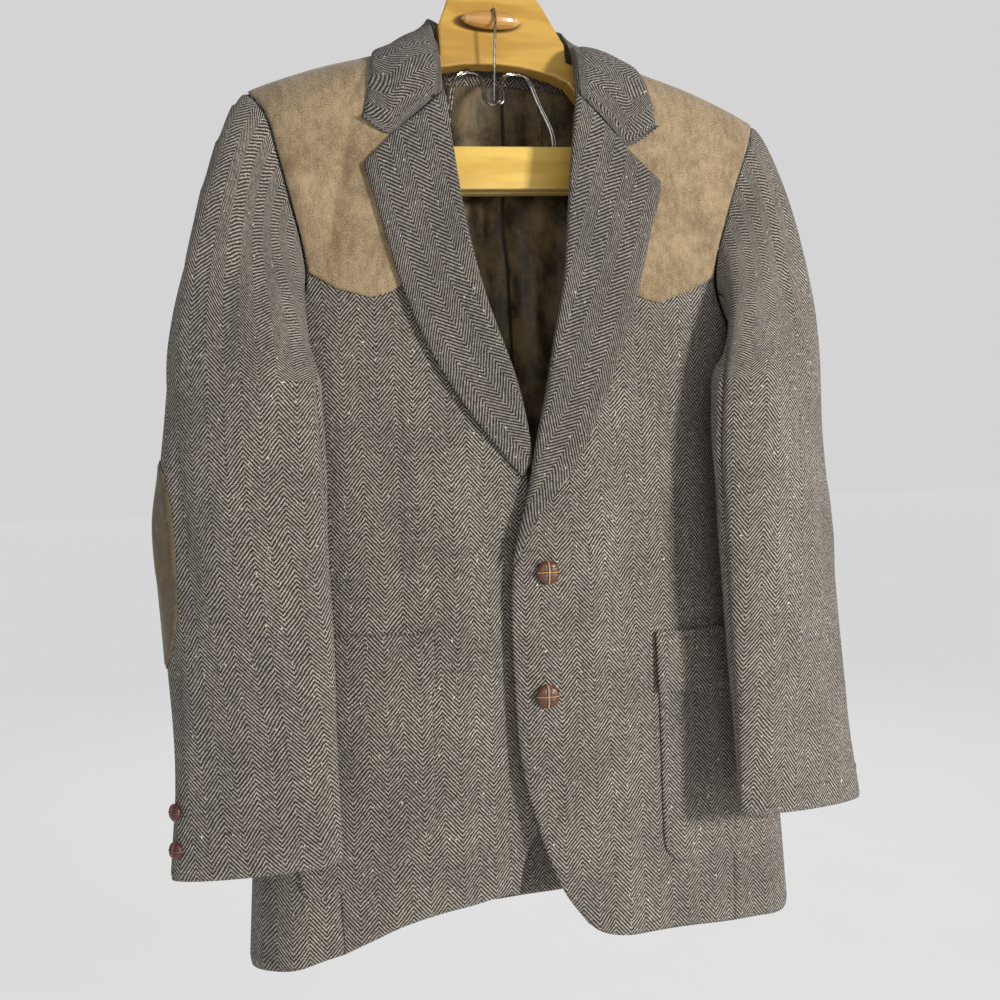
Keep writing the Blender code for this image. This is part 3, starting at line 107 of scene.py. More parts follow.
# front edges, from the neck point along the roll line to the hem: signed x, z
RIGHT_EDGE = np.array([
    [-0.0735, 0.0115], [-0.0715, -0.012], [-0.0690, -0.037], [-0.0630, -0.081],
    [-0.0570, -0.130], [-0.0505, -0.172], [-0.0385, -0.222], [-0.0315, -0.244],
    [-0.0175, -0.288], [-0.0100, -0.326], [-0.0085, -0.350], [-0.0080, -0.370],
    [0.0020, -0.395], [0.0150, -0.425], [0.0240, -0.460], [0.0270, -0.520], [0.0200, -0.600],
    [0.0000, -0.655], [-0.0180, -0.690], [-0.0240, -0.722],
])
LEFT_EDGE = np.array([
    [0.0735, 0.0115], [0.0650, -0.012], [0.0570, -0.037], [0.0520, -0.060],
    [0.0465, -0.103], [0.0420, -0.146], [0.0350, -0.204], [0.0250, -0.248],
    [0.0130, -0.303], [0.0010, -0.346], [-0.0080, -0.386], [-0.0180, -0.420],
    [-0.0260, -0.450], [-0.0280, -0.496], [-0.0270, -0.546], [-0.0250, -0.589],
    [-0.0210, -0.622], [-0.0130, -0.654], [-0.0030, -0.687], [0.0110, -0.719],
    [0.0300, -0.746],
])

# hems of the fronts, from the front edge to the side body seam: signed x, z
RIGHT_HEM = np.array([
    [-0.0240, -0.7220], [-0.0450, -0.7215],
    [-0.0890, -0.725], [-0.1200, -0.732], [-0.1460, -0.743], [-0.1730, -0.755],
])
LEFT_HEM = np.array([
    [0.0300, -0.746], [0.0420, -0.755], [0.0610, -0.761], [0.0920, -0.763],
    [0.1310, -0.766], [0.1730, -0.770],
])

# side body seams on the front and on the back: distance from the centre, height
SIDE_SEAM = {
    FRONT: np.array([[0.1880, -0.340], [0.1820, -0.450], [0.1780, -0.560], [0.1750, -0.680]]),
    BACK: np.array([[0.1900, -0.300], [0.1780, -0.420], [0.1800, -0.540], [0.1880, -0.680]]),
}

FRONT_SEAM_FOOT, BACK_SEAM_FOOT = 0.173, 0.193   # those seams' distance from the centre at the hem

# hems of the side bodies, x from the front seam round the side to the back seam, as fractions
SIDE_HEM = {
    RIGHT: np.array([[0.0, -0.755], [0.25, -0.766], [0.50, -0.772], [1.0, -0.764]]),
    LEFT: np.array([[0.0, -0.770], [0.25, -0.773], [0.50, -0.776], [1.0, -0.764]]),
}
BACK_HEM_Z = -0.764
BACK_NECK = np.array([[0.0, 0.0030], [0.030, 0.0035], [0.058, 0.0070]])   # neck edge of the back

# lapels, outer edge from the point down to the break: signed x, z; gorge from roll to notch
LAPEL = {
    RIGHT: {
        "gorge": np.array([[-0.0670, -0.0440], [-0.0860, -0.0600], [-0.1105, -0.0805],
                           [-0.1340, -0.1060]]),
        "outer": np.array([[-0.1340, -0.106], [-0.1250, -0.140], [-0.1120, -0.190],
                           [-0.1000, -0.229], [-0.0870, -0.260], [-0.0700, -0.292],
                           [-0.0480, -0.325], [-0.0300, -0.348], [-0.0140, -0.368]]),
        "roll": np.array([[-0.0670, -0.0440], [-0.0630, -0.081], [-0.0570, -0.130],
                          [-0.0505, -0.172], [-0.0385, -0.222], [-0.0315, -0.244],
                          [-0.0175, -0.288], [-0.0100, -0.326], [-0.0083, -0.345],
                          [-0.0085, -0.362]]),
    },
    LEFT: {
        "gorge": np.array([[0.0545, -0.0400], [0.0745, -0.0590], [0.0955, -0.0825],
                           [0.1260, -0.1115]]),
        "outer": np.array([[0.1260, -0.1115], [0.1230, -0.130], [0.1140, -0.156],
                           [0.1050, -0.188], [0.0970, -0.215], [0.0790, -0.265],
                           [0.0570, -0.315], [0.0290, -0.362], [-0.0080, -0.409],
                           [-0.0200, -0.434]]),
        "roll": np.array([[0.0545, -0.0400], [0.0520, -0.060], [0.0465, -0.103],
                          [0.0420, -0.146], [0.0350, -0.204], [0.0250, -0.248],
                          [0.0130, -0.303], [0.0010, -0.346], [-0.0080, -0.386],
                          [-0.0180, -0.420], [-0.0235, -0.438]]),
    },
}
LAPEL_LIFT = 0.0025          # underside of lapel and collar above the panel
LAPEL_ROLL = 0.0044          # how far the lapel's fold passes the panel's edge

# collar, from the centre back to the front end: foot of the stand, fold, and outer edge
COLLAR = {
    RIGHT: np.array([
        # foot x   y       z       fold x   y       z       edge x   y       z
        [0.0000,  0.0275, 0.0042, 0.0000,  0.0400, 0.0430, 0.0000,  0.0600, -0.0060],
        [0.0370,  0.0255, 0.0050, 0.0360,  0.0370, 0.0460, 0.0600,  0.0620, -0.0060],
        [0.0620,  0.0150, 0.0110, 0.0630,  0.0210, 0.0495, 0.1120,  0.0320, 0.0050],
        [0.0700,  0.0040, 0.0155, 0.0655,  0.0030, 0.0370, 0.1180,  0.0050, 0.0050],
        [0.0680, -0.0200, -0.0060, 0.0665, -0.0260, 0.0050, 0.1230, -0.0300, -0.0200],
        [0.0650, -0.0400, -0.0330, 0.0670, -0.0445, -0.0310, 0.1340, -0.0500, -0.0600],
    ]),
    LEFT: np.array([
        [0.0000,  0.0275, 0.0042, 0.0000,  0.0400, 0.0430, 0.0000,  0.0600, -0.0060],
        [0.0350,  0.0255, 0.0050, 0.0330,  0.0370, 0.0460, 0.0580,  0.0620, -0.0060],
        [0.0600,  0.0150, 0.0110, 0.0560,  0.0210, 0.0465, 0.1080,  0.0320, 0.0050],
        [0.0690,  0.0040, 0.0155, 0.0590,  0.0030, 0.0310, 0.1120,  0.0050, 0.0040],
        [0.0600, -0.0200, -0.0080, 0.0560, -0.0260, 0.0010, 0.1170, -0.0300, -0.0200],
        [0.0530, -0.0400, -0.0330, 0.0550, -0.0445, -0.0310, 0.1270, -0.0500, -0.0600],
    ]),
}
COLLAR_END = {               # the front end: along the gorge, round the notch to the point: x, z
    RIGHT: np.array([[0.0670, -0.0414], [0.0865, -0.0584], [0.1115, -0.0794], [0.1345, -0.0645]]),
    LEFT: np.array([[0.0545, -0.0370], [0.0745, -0.0565], [0.0965, -0.0810], [0.1262, -0.0605]]),
}
STAND_FOOT = np.array([-0.0040, 0.0022])    # from the fold to the stand's foot at the front end
# outer face above the body, from the fold over the fall to its edge
COLLAR_CLEAR = (0.0044, 0.0060, 0.0074, 0.0080, 0.0078, 0.0070, 0.0060)
FALL_RISE = 0.0075           # how far the fall arches between its fold and its edge

# suede yokes, lower edge from the armhole to under the lapel: distance from the centre, height
YOKE_LOW = {
    RIGHT: np.array([[0.1820, -0.1950], [0.1610, -0.2085], [0.1330, -0.2170], [0.1180, -0.2130],
                     [0.1000, -0.2030]]),
    LEFT: np.array([[0.1780, -0.1930], [0.1500, -0.2080], [0.1200, -0.2190], [0.1060, -0.2160],
                    [0.0880, -0.2080]]),
}
LINING_GAP = 0.0009          # between the back and the lining's sewn edges
LINING_HALF, LINING_TOP, LINING_LOW = 0.140, 0.0022, -0.430
LINING_BELOW_SEAM = 0.020    # the lining's top edge keeps this far below the shoulder seams
YOKE_LIFT = 0.0008           # underside of the yoke above the front's section
YOKE_TOP_X = 0.110           # inner end of the yoke on the shoulder seam, under the collar
YOKE_INNER = ((0.105, -0.040), (0.0900, -0.085))     # its inner edge, hidden by the lapel: x, z
YOKE_INNER_LOW_Z = -0.140

# patch pockets and their flaps: distance of the front edge, widths, heights
POCKET = {
    RIGHT: {"x0": 0.0960, "x1": 0.2060, "top": -0.4945, "flap0": 0.048, "flap1": 0.078,
            "low": -0.668, "low_tilt": -0.048, "radius": 0.026},
    LEFT: {"x0": 0.1020, "x1": 0.2080, "top": -0.5050, "flap0": 0.052, "flap1": 0.058,
           "low": -0.708, "low_tilt": 0.000, "radius": 0.026},
}
FLAP_OVERHANG = 0.003
POCKET_LIFT, POCKET_CLOTH = 0.0009, 0.0016
POCKET_MOUTH_DROP = 0.010    # the pocket's mouth lies this far below its flap's seam
POCKET_CORNER = 0.9          # how much of a quarter circle its lower corners take
FLAP_SPREAD = 0.0016         # how far the flap's lower edge springs off the pocket

# sleeves below the armhole: height, distance and depth of the middle, half width, half depth, turn
SLEEVE = {
    RIGHT: np.array([
        [-0.290, 0.2365, -0.0590, 0.0605, 0.0290, 20.0],
        [-0.345, 0.2405, -0.0620, 0.0660, 0.0300, 21.0],
        [-0.410, 0.2425, -0.0660, 0.0700, 0.0300, 22.0],
        [-0.490, 0.2395, -0.0710, 0.0690, 0.0270, 22.0],
        [-0.580, 0.2370, -0.0760, 0.0660, 0.0220, 20.0],
        [-0.669, 0.2390, -0.0790, 0.0685, 0.0175, 16.0],
    ]),
    LEFT: np.array([
        [-0.290, 0.2180, -0.0630, 0.0640, 0.0290, 24.0],
        [-0.345, 0.2150, -0.0680, 0.0680, 0.0300, 26.0],
        [-0.410, 0.2145, -0.0740, 0.0720, 0.0300, 27.0],
        [-0.490, 0.2165, -0.0790, 0.0730, 0.0270, 26.0],
        [-0.580, 0.2195, -0.0840, 0.0730, 0.0230, 24.0],
        [-0.661, 0.2240, -0.0880, 0.0760, 0.0180, 20.0],
    ]),
}
CUFF_TILT = 0.006            # the cuff is this much lower at the little-finger side
CROWN_REACH = 0.08           # how far the sleeve head runs outwards before it falls
ARM_FALL = 0.34              # how far up the sleeve the hanging direction is kept

# sleeve seams in fractions of a half turn from the outermost line: at armhole, elbow, cuff
BACK_SEAM = np.array([[0.0, -0.52], [0.45, -0.32], [1.0, -0.115]])
FRONT_SEAM = np.array([[0.0, 0.70], [0.45, 0.80], [1.0, 0.84]])
PITCH = 0.20                 # the hanging sleeve is turned this far forwards of its armhole

PATCH_LIFT = 0.0005          # underside of the patches above the sleeve's section
PATCH_TOP = -0.347           # suede elbow patches
PATCH_LOW = -0.512
PATCH_HALF = 0.26            # half width in fractions of a half turn
PATCH_MIDDLE = {RIGHT: -0.180, LEFT: -0.440}
CUFF_BUTTON_TURN = {RIGHT: 0.085, LEFT: -0.130}     # from the elbow seam, in half turns

# soft folds of the cloth: x and z of the upper end, x and z of the lower end, width, height
FOLDS = [
    # face    x0      z0      x1      z1      width  height
    (FRONT, -0.205, -0.600, -0.214, -0.790, 0.020, 0.0070),
    (FRONT, -0.040, -0.430, -0.036, -0.780, 0.024, -0.0065),
    (FRONT, -0.120, -0.520, -0.105, -0.790, 0.030, 0.0030),
    (FRONT, 0.075, -0.600, 0.085, -0.790, 0.030, 0.0035),
    (FRONT, 0.215, -0.560, 0.222, -0.790, 0.018, 0.0050),
    (BACK, -0.110, -0.480, -0.125, -0.790, 0.030, 0.0060),
    (BACK, 0.060, -0.520, 0.072, -0.790, 0.028, 0.0050),
    (BACK, 0.170, -0.450, 0.165, -0.790, 0.026, 0.0045),
    (BACK, -0.030, -0.500, -0.022, -0.790, 0.022, -0.0030),
]

FRONT_BUTTONS = ((0.0030, -0.4490), (-0.0010, -0.5510))      # x and z
BUTTON_RADIUS, BUTTON_DOME = 0.0098, 0.0062
CUFF_BUTTON_RADIUS, CUFF_BUTTON_DOME = 0.0068, 0.0050
CUFF_BUTTON_Z = (0.024, 0.052)            # above the cuff's hem

TOGGLE_X, TOGGLE_Z = -0.0150, 0.0352        # the clamp's wooden handle, which lies on the board
CLAMP_WIRE = 0.00115                        # radius of the clamp's wires
# routes of the clamp's legs; a second wire runs beside each of them
CLAMP_LEG = {
    RIGHT: (
        (-0.0148, -0.0100, -0.0352), (-0.0176, -0.0100, -0.0364), (-0.0208, -0.0098, -0.0340),
        (-0.0226, -0.0080, -0.0270), (-0.0222, -0.0040, -0.0160), (-0.0248, 0.0000, -0.0078),
        (-0.0300, 0.0018, -0.0042), (-0.0365, 0.0024, -0.0036), (-0.0432, 0.0018, -0.0072),
        (-0.0485, 0.0000, -0.0170), (-0.0517, 0.0000, -0.0306), (-0.0550, 0.0000, -0.0560),
        (-0.0555, 0.0000, -0.0860),
    ),
    LEFT: (
        (-0.0104, -0.0100, -0.0346), (-0.0076, -0.0100, -0.0332), (-0.0062, -0.0092, -0.0262),
        (-0.0066, -0.0040, -0.0160), (-0.0020, 0.0000, -0.0070), (0.0043, 0.0018, -0.0034),
        (0.0150, 0.0024, -0.0034), (0.0196, 0.0016, -0.0062), (0.0236, 0.0000, -0.0135),
        (0.0288, 0.0000, -0.0265), (0.0402, 0.0000, -0.0509), (0.0427, 0.0000, -0.0599),
        (0.0430, 0.0000, -0.0820),
    ),
}
UNDERLAP_DIP = 0.0052        # the right front falls back behind the left one's edge
# small creases: face, x and z of the upper end, x and z of the lower end, width, height
CREASES = [
    (FRONT, -0.143, -0.060, -0.168, -0.190, 0.0065, -0.0030),
    (FRONT, -0.128, -0.020, -0.150, -0.062, 0.0045, -0.0026),
    (FRONT, -0.196, -0.080, -0.176, -0.170, 0.0080, 0.0022),
    (FRONT, 0.150, -0.060, 0.166, -0.180, 0.0080, -0.0024),
    (FRONT, -0.170, -0.230, -0.150, -0.470, 0.0160, 0.0030),
    (FRONT, -0.125, -0.290, -0.118, -0.560, 0.0130, -0.0026),
    (FRONT, -0.075, -0.330, -0.060, -0.600, 0.0150, 0.0028),
    (FRONT, -0.030, -0.420, -0.020, -0.640, 0.0100, -0.0018),
    (FRONT, -0.188, -0.420, -0.196, -0.600, 0.0100, -0.0024),
    (FRONT, 0.048, -0.380, 0.036, -0.600, 0.0130, 0.0022),
    (FRONT, 0.082, -0.300, 0.075, -0.520, 0.0120, -0.0018),
    (FRONT, 0.140, -0.240, 0.150, -0.480, 0.0140, 0.0026),
    (FRONT, 0.176, -0.270, 0.172, -0.520, 0.0110, -0.0022),
    (FRONT, 0.060, -0.620, 0.066, -0.760, 0.0120, 0.0020),
    (FRONT, -0.112, -0.240, -0.118, -0.500, 0.0026, -0.0011),
    (FRONT, 0.112, -0.240, 0.113, -0.505, 0.0026, -0.0011),
    (BACK, -0.060, -0.090, -0.085, -0.300, 0.0160, 0.0028),
    (BACK, 0.075, -0.110, 0.090, -0.330, 0.0150, 0.0026),
    (BACK, -0.150, -0.120, -0.135, -0.360, 0.0130, -0.0026),
    (BACK, 0.160, -0.140, 0.140, -0.380, 0.0130, -0.0024),
    (BACK, -0.090, -0.330, -0.070, -0.620, 0.0150, 0.0026),
    (BACK, 0.110, -0.360, 0.120, -0.600, 0.0140, 0.0022),
    (BACK, 0.020, -0.300, 0.035, -0.520, 0.0120, -0.0018),
]
# creases of the sleeves: turn and run of the upper end, of the lower end, width in turns, height
ARM_CREASES = [
    (0.10, 0.06, 0.02, 0.30, 0.060, 0.0030),
    (0.32, 0.10, 0.24, 0.34, 0.050, -0.0030),
    (-0.20, 0.08, -0.12, 0.36, 0.070, 0.0032),
    (0.52, 0.12, 0.40, 0.44, 0.060, 0.0034),
    (0.05, 0.36, 0.16, 0.60, 0.050, -0.0026),
    (0.30, 0.42, 0.22, 0.66, 0.060, 0.0026),
    (-0.12, 0.44, -0.02, 0.62, 0.050, 0.0022),
    (0.62, 0.50, 0.48, 0.74, 0.060, -0.0028),
    (0.10, 0.66, 0.02, 0.90, 0.070, 0.0022),
    (0.42, 0.72, 0.36, 0.96, 0.060, -0.0020),
    (0.95, 0.20, 0.85, 0.50, 0.080, 0.0030),
    (1.25, 0.30, 1.30, 0.60, 0.080, -0.0028),
    (1.10, 0.55, 1.00, 0.85, 0.080, 0.0024),
]


# ---- materials -------------------------------------------------------------------------------
COLUMN_WIDTH = 0.0142        # one column of the herringbone
TWILL_PITCH = 0.0037         # height from one twill line to the next
TWILL_SLOPE = 1.15           # rise of a twill line over its run
COLUMN_BREAK = 0.12          # how far the lines miss each other where two columns meet
WEFT_PITCH = 0.0014          # from one weft yarn to the next
WAVER_ACROSS, WAVER_DOWN = 0.0022, 0.0034   # how far the weave wanders from its grid
LINING_PLEAT_SHADOW = 0.148          # the painted shadow line down the fold of the lining's centre pleat, metres across its cut
THONG_RATIO = 1.35           # the upright thong of a leather button is wider than the level one
# painted shade round the clamp's handle, standing for its recess: its middle, half width and half
# height
RECESS_X, RECESS_Z = TOGGLE_X - HANGER_X - 0.0012, TOGGLE_Z - HOOK_RISE + 0.0012
RECESS_WIDE, RECESS_TALL = 0.0305, 0.0092


class Paint:
    """A node material under construction."""

    def __init__(self, name, roughness, **sockets):
        self.material = bpy.data.materials.new(name)
        self.material.use_nodes = True
        self.tree = self.material.node_tree
        self.shader = self.tree.nodes["Principled BSDF"]
        self.shader.inputs["Roughness"].default_value = roughness
        for socket, value in sockets.items():
            self.shader.inputs[socket.replace("_", " ")].default_value = value

    def feed(self, socket, value):
        if isinstance(value, bpy.types.NodeSocket):
            self.tree.links.new(value, socket)
        else:
            socket.default_value = value

    def node(self, kind, *inputs, **settings):
        made = self.tree.nodes.new("ShaderNode" + kind)
        for key, value in settings.items():
            setattr(made, key, value)
        for k, value in enumerate(inputs):
            if value is not None:
                self.feed(made.inputs[k], value)
        return made

    def math(self, operation, a, b=0.0, c=0.0):
        return self.node("Math", a, b, c, operation=operation).outputs[0]

    def noise(self, vector, scale, detail=2.0, rough=0.5):
        return self.node("TexNoise", vector, None, scale, detail, rough).outputs[0]

    def step(self, value, low, high, to_low=0.0, to_high=1.0):
        made = self.node("MapRange", value, low, high, to_low, to_high,
                         interpolation_type="SMOOTHSTEP")
        return made.outputs[0]

    def mix(self, factor, a, b, blend="MIX"):
        made = self.node("Mix", data_type="RGBA", blend_type=blend)
        self.feed(made.inputs[0], factor)
        for socket, value in ((made.inputs[6], a), (made.inputs[7], b)):
            self.feed(socket, (*value, 1.0) if isinstance(value, tuple) else value)
        return made.outputs[2]

    def stretch(self, vector, scale):
        made = self.node("Mapping", vector)
        made.inputs["Scale"].default_value = scale
        return made.outputs[0]

    def finish(self, colour, height, distance, strength=1.0, roughness=None):
        self.feed(self.shader.inputs["Base Color"], colour)
        bump = self.node("Bump")
        bump.inputs["Strength"].default_value = strength
        bump.inputs["Distance"].default_value = distance
        self.feed(bump.inputs["Height"], height)
        self.feed(self.shader.inputs["Normal"], bump.outputs[0])
        if roughness is not None:
            self.feed(self.shader.inputs["Roughness"], roughness)
        return self.material


def tweed(name, light, dark):
    """Herringbone: columns of twill that lean left and right by turns, woven from hairy yarn."""
    p = Paint(name, 0.93, Sheen_Weight=0.12, Sheen_Roughness=0.6)
    cut = p.node("UVMap", uv_map="Cut").outputs[0]
    axes = p.node("SeparateXYZ", cut)
    waver = p.math("SUBTRACT", p.noise(cut, 45.0, 2.0), 0.5)
    across = p.math("MULTIPLY_ADD", waver, WAVER_ACROSS, axes.outputs[0])
    down = p.math("MULTIPLY_ADD", waver, WAVER_DOWN, axes.outputs[1])
    column_place = p.math("DIVIDE", across, COLUMN_WIDTH)
    index = p.math("FLOOR", column_place)
    odd = p.math("FLOORED_MODULO", index, 2.0)
    zigzag = p.math("PINGPONG", column_place, 1.0)
    line = p.math("DIVIDE", down, TWILL_PITCH)
    line = p.math("MULTIPLY_ADD", zigzag, TWILL_SLOPE * COLUMN_WIDTH / TWILL_PITCH, line)
    line = p.math("MULTIPLY_ADD", odd, COLUMN_BREAK, line)
    wave = p.math("SINE", p.math("MULTIPLY", line, 2 * np.pi))
    # the yarns' own crossings, and the hair that breaks the lines up
    weft = p.math("SINE", p.math("MULTIPLY", down, 2 * np.pi / WEFT_PITCH))
    hair = p.math("SUBTRACT", p.noise(p.stretch(cut, (1.0, 0.55, 1.0)), 1150.0, 4.0, 0.75), 0.5)
    blotch = p.math("SUBTRACT", p.noise(cut, 210.0, 3.0, 0.6), 0.5)
    value = p.math("MULTIPLY_ADD", hair, 5.4, wave)
    value = p.math("MULTIPLY_ADD", blotch, 1.9, value)
    value = p.math("MULTIPLY_ADD", weft, 0.16, value)
    colour = p.mix(p.step(value, -0.55, 1.60), dark, light)
    brown = p.mix(0.5, colour, (0.085, 0.050, 0.032))
    colour = p.mix(p.step(p.noise(cut, 520.0, 2.0), 0.58, 0.70, 0.0, 0.75), colour, brown)
    slub = p.step(p.noise(p.stretch(cut, (1.0, 0.6, 1.0)), 430.0, 1.0), 0.705, 0.775)
    colour = p.mix(slub, colour, (0.80, 0.75, 0.66))
    rust = p.step(p.noise(p.stretch(cut, (1.3, 1.0, 1.0)), 390.0, 1.0), 0.755, 0.81, 0.0, 0.8)
    colour = p.mix(rust, colour, (0.30, 0.10, 0.035))
    cloudy = p.step(p.noise(cut, 17.0, 2.0), 0.3, 0.7, 0.84, 1.10)
    tone = p.node("CombineColor", cloudy, cloudy, cloudy).outputs[0]
    colour = p.mix(1.0, colour, tone, "MULTIPLY")
    height = p.math("MULTIPLY_ADD", wave, 0.32, p.math("MULTIPLY", hair, 1.6))
    return p.finish(colour, height, 0.0008, 0.85)


def suede(name, light, dark):
    """Split leather with a short nap, rubbed lighter and darker in places."""
    p = Paint(name, 0.95, Sheen_Weight=0.35, Sheen_Roughness=0.45)
    cut = p.node("UVMap", uv_map="Cut").outputs[0]
    grain = p.noise(cut, 900.0, 4.0, 0.7)
    nap = p.noise(p.stretch(cut, (1.0, 0.5, 1.0)), 160.0, 4.0, 0.65)
    rubbed = p.noise(cut, 26.0, 3.0, 0.6)
    value = p.math("MULTIPLY_ADD", nap, 0.55, p.math("MULTIPLY", rubbed, 0.45))
    value = p.math("MULTIPLY_ADD", p.math("SUBTRACT", grain, 0.5), 1.15, value)
    colour = p.mix(p.step(value, 0.32, 0.68), dark, light)
    pores = p.step(p.noise(cut, 620.0, 1.0), 0.30, 0.22, 0.0, 0.6)
    colour = p.mix(pores, colour, tuple(0.55 * c for c in dark))
    return p.finish(colour, p.math("MULTIPLY_ADD", nap, 0.8, grain), 0.0007, 0.8)


def satin(name):
    """Brown satin lining, watered and creased, with a painted shadow line down its centre pleat."""
    p = Paint(name, 0.5, Specular_IOR_Level=0.32)
    cut = p.node("UVMap", uv_map="Cut").outputs[0]
    mottle = p.noise(p.stretch(cut, (1.0, 0.6, 1.0)), 46.0, 4.0, 0.62)
    thread = p.noise(p.stretch(cut, (1.0, 0.03, 1.0)), 2600.0, 1.0)
    value = p.math("MULTIPLY_ADD", thread, 0.2, p.math("MULTIPLY", mottle, 0.8))
    colour = p.mix(p.step(value, 0.36, 0.64), (0.034, 0.023, 0.009), (0.185, 0.130, 0.060))
    # painted shadow: a near-black line down the fold of the centre pleat
    seam = p.math("ABSOLUTE", p.math("SUBTRACT", p.node("SeparateXYZ", cut).outputs[0], LINING_PLEAT_SHADOW))
    colour = p.mix(p.step(seam, 0.0026, 0.0010, 0.0, 0.9), colour, (0.008, 0.006, 0.003))
    rough = p.step(mottle, 0.3, 0.7, 0.42, 0.6)
    return p.finish(colour, mottle, 0.0016, 0.6, rough)


def leather(name, base, seam):
    """Plaited leather of a football button: strands across the dome, a lighter thong over them."""
    p = Paint(name, 0.34, Coat_Weight=0.35, Coat_Roughness=0.2)
    place = p.node("UVMap", uv_map="Cut").outputs[0]
    axes = p.node("SeparateXYZ", place)
    side_way = p.math("ABSOLUTE", axes.outputs[0])
    up_way = p.math("ABSOLUTE", axes.outputs[1])
    thong = p.math("MINIMUM", side_way, p.math("MULTIPLY", up_way, THONG_RATIO))
    cross = p.step(thong, 0.10, 0.055)
    # painted shade in the grooves beside the raised thong
    groove_shade = p.step(p.math("ABSOLUTE", p.math("SUBTRACT", thong, 0.13)), 0.05, 0.01)
    strands = p.math("PINGPONG", p.math("MAXIMUM", side_way, up_way), 0.16)
    grain = p.noise(place, 9.0, 4.0, 0.6)
    fine = p.noise(place, 34.0, 3.0, 0.6)
    deep = tuple(0.30 * c for c in base)
    colour = p.mix(p.step(grain, 0.3, 0.7), deep, base)
    colour = p.mix(p.math("MULTIPLY", groove_shade, 0.8), colour, tuple(0.2 * c for c in base))
    colour = p.mix(cross, colour, seam)
    height = p.math("MULTIPLY_ADD", cross, 0.9, p.math("MULTIPLY", strands, 3.0))
    height = p.math("MULTIPLY_ADD", fine, 0.35, height)
    return p.finish(colour, height, 0.0006, 0.9)


def wood(name, pale, deep, recess_shade=False):
    """Varnished maple, its grain along the piece, lighter along its convex rims, with painted shade
    round the handle's recess.
    """
    p = Paint(name, 0.33, Coat_Weight=0.4, Coat_Roughness=0.18)
    place = p.node("TexCoord").outputs["Object"]
    figure = p.noise(p.stretch(place, (6.0, 24.0, 30.0)), 1.0, 3.0, 0.5)
    vessel = p.noise(p.stretch(place, (90.0, 900.0, 1300.0)), 1.0, 3.0, 0.6)
    ring = p.math("PINGPONG", p.math("MULTIPLY", figure, 7.0), 1.0)
    colour = p.mix(p.step(ring, 0.1, 0.9), deep, pale)
    streak = p.step(vessel, 0.58, 0.74, 0.0, 0.35)
    colour = p.mix(streak, colour, (0.330, 0.150, 0.030))
    knot = p.step(p.noise(p.stretch(place, (30.0, 60.0, 60.0)), 1.0, 2.0), 0.62, 0.78, 0.0, 0.35)
    colour = p.mix(knot, colour, (0.300, 0.120, 0.030))
    edge = p.step(p.node("NewGeometry").outputs["Pointiness"], 0.54, 0.62, 0.0, 0.35)
    colour = p.mix(edge, colour, (0.95, 0.70, 0.30))
    if recess_shade:
        # painted shade: the board darkened in an oval round the handle, where its recess lies in
        # shadow
        axes = p.node("SeparateXYZ", place)
        across = p.math("DIVIDE", p.math("SUBTRACT", axes.outputs[0], RECESS_X), RECESS_WIDE)
        up = p.math("DIVIDE", p.math("SUBTRACT", axes.outputs[2], RECESS_Z), RECESS_TALL)
        round_of = p.math("SQRT", p.math("ADD", p.math("MULTIPLY", across, across),
                                         p.math("MULTIPLY", up, up)))
        colour = p.mix(p.step(round_of, 1.08, 0.86, 0.0, 0.85), colour, (0.085, 0.038, 0.010))
    return p.finish(colour, vessel, 0.0003, 0.5, p.step(figure, 0.3, 0.7, 0.28, 0.42))


def steel(name):
    """Drawn nickelled wire with fine scratches along it."""
    p = Paint(name, 0.22, Metallic=1.0)
    place = p.node("TexCoord").outputs["Object"]
    scratch = p.noise(p.stretch(place, (900.0, 900.0, 260.0)), 1.0, 3.0)
    colour = p.mix(p.step(scratch, 0.35, 0.65), (0.20, 0.19, 0.17), (0.42, 0.41, 0.38))
    return p.finish(colour, scratch, 0.0001, 0.4, p.step(scratch, 0.3, 0.7, 0.16, 0.34))


def thread(name, colour):
    """Twisted sewing thread."""
    p = Paint(name, 0.6, Sheen_Weight=0.2)
    place = p.node("TexCoord").outputs["Object"]
    twist = p.noise(p.stretch(place, (1800.0, 1800.0, 1800.0)), 1.0, 2.0)
    shade = p.mix(p.step(twist, 0.3, 0.7), tuple(0.55 * c for c in colour), colour)
    return p.finish(shade, twist, 0.0002, 0.8)


LOOKS = {
    "tweed": tweed("tweed_look", (0.560, 0.490, 0.410), (0.008, 0.006, 0.005)),
    # the same tweed made darker: painted shade on the lapels and the collar
    "shaded_tweed": tweed("shaded_tweed_look", (0.400, 0.350, 0.295), (0.006, 0.005, 0.004)),
    "suede": suede("suede_look", (0.385, 0.285, 0.163), (0.180, 0.122, 0.062)),
    # the same suede made darker: painted shade on the elbow patches
    "shaded_suede": suede("elbow_shaded_look", (0.170, 0.127, 0.070), (0.070, 0.050, 0.027)),
    "satin": satin("satin_look"),
    "leather": leather("button_look", (0.150, 0.052, 0.018), (0.480, 0.250, 0.100)),
    "dark_leather": leather("cuff_button_look", (0.130, 0.036, 0.028), (0.260, 0.095, 0.070)),
    # the trouser bars' maple, lighter and yellower than the board's: painted light where the lamp
    # falls on them
    "maple": wood("lit_bar_wood_look", (0.740, 0.490, 0.085), (0.620, 0.370, 0.050)),
    "handle": wood("handle_look", (0.500, 0.250, 0.062), (0.330, 0.145, 0.030)),
    "board": wood("board_look", (0.560, 0.335, 0.062), (0.440, 0.240, 0.038), True),
    "steel": steel("steel_look"),
    "buff_thread": thread("buff_thread_look", (0.560, 0.420, 0.250)),
    "brown_thread": thread("brown_thread_look", (0.120, 0.060, 0.040)),
}


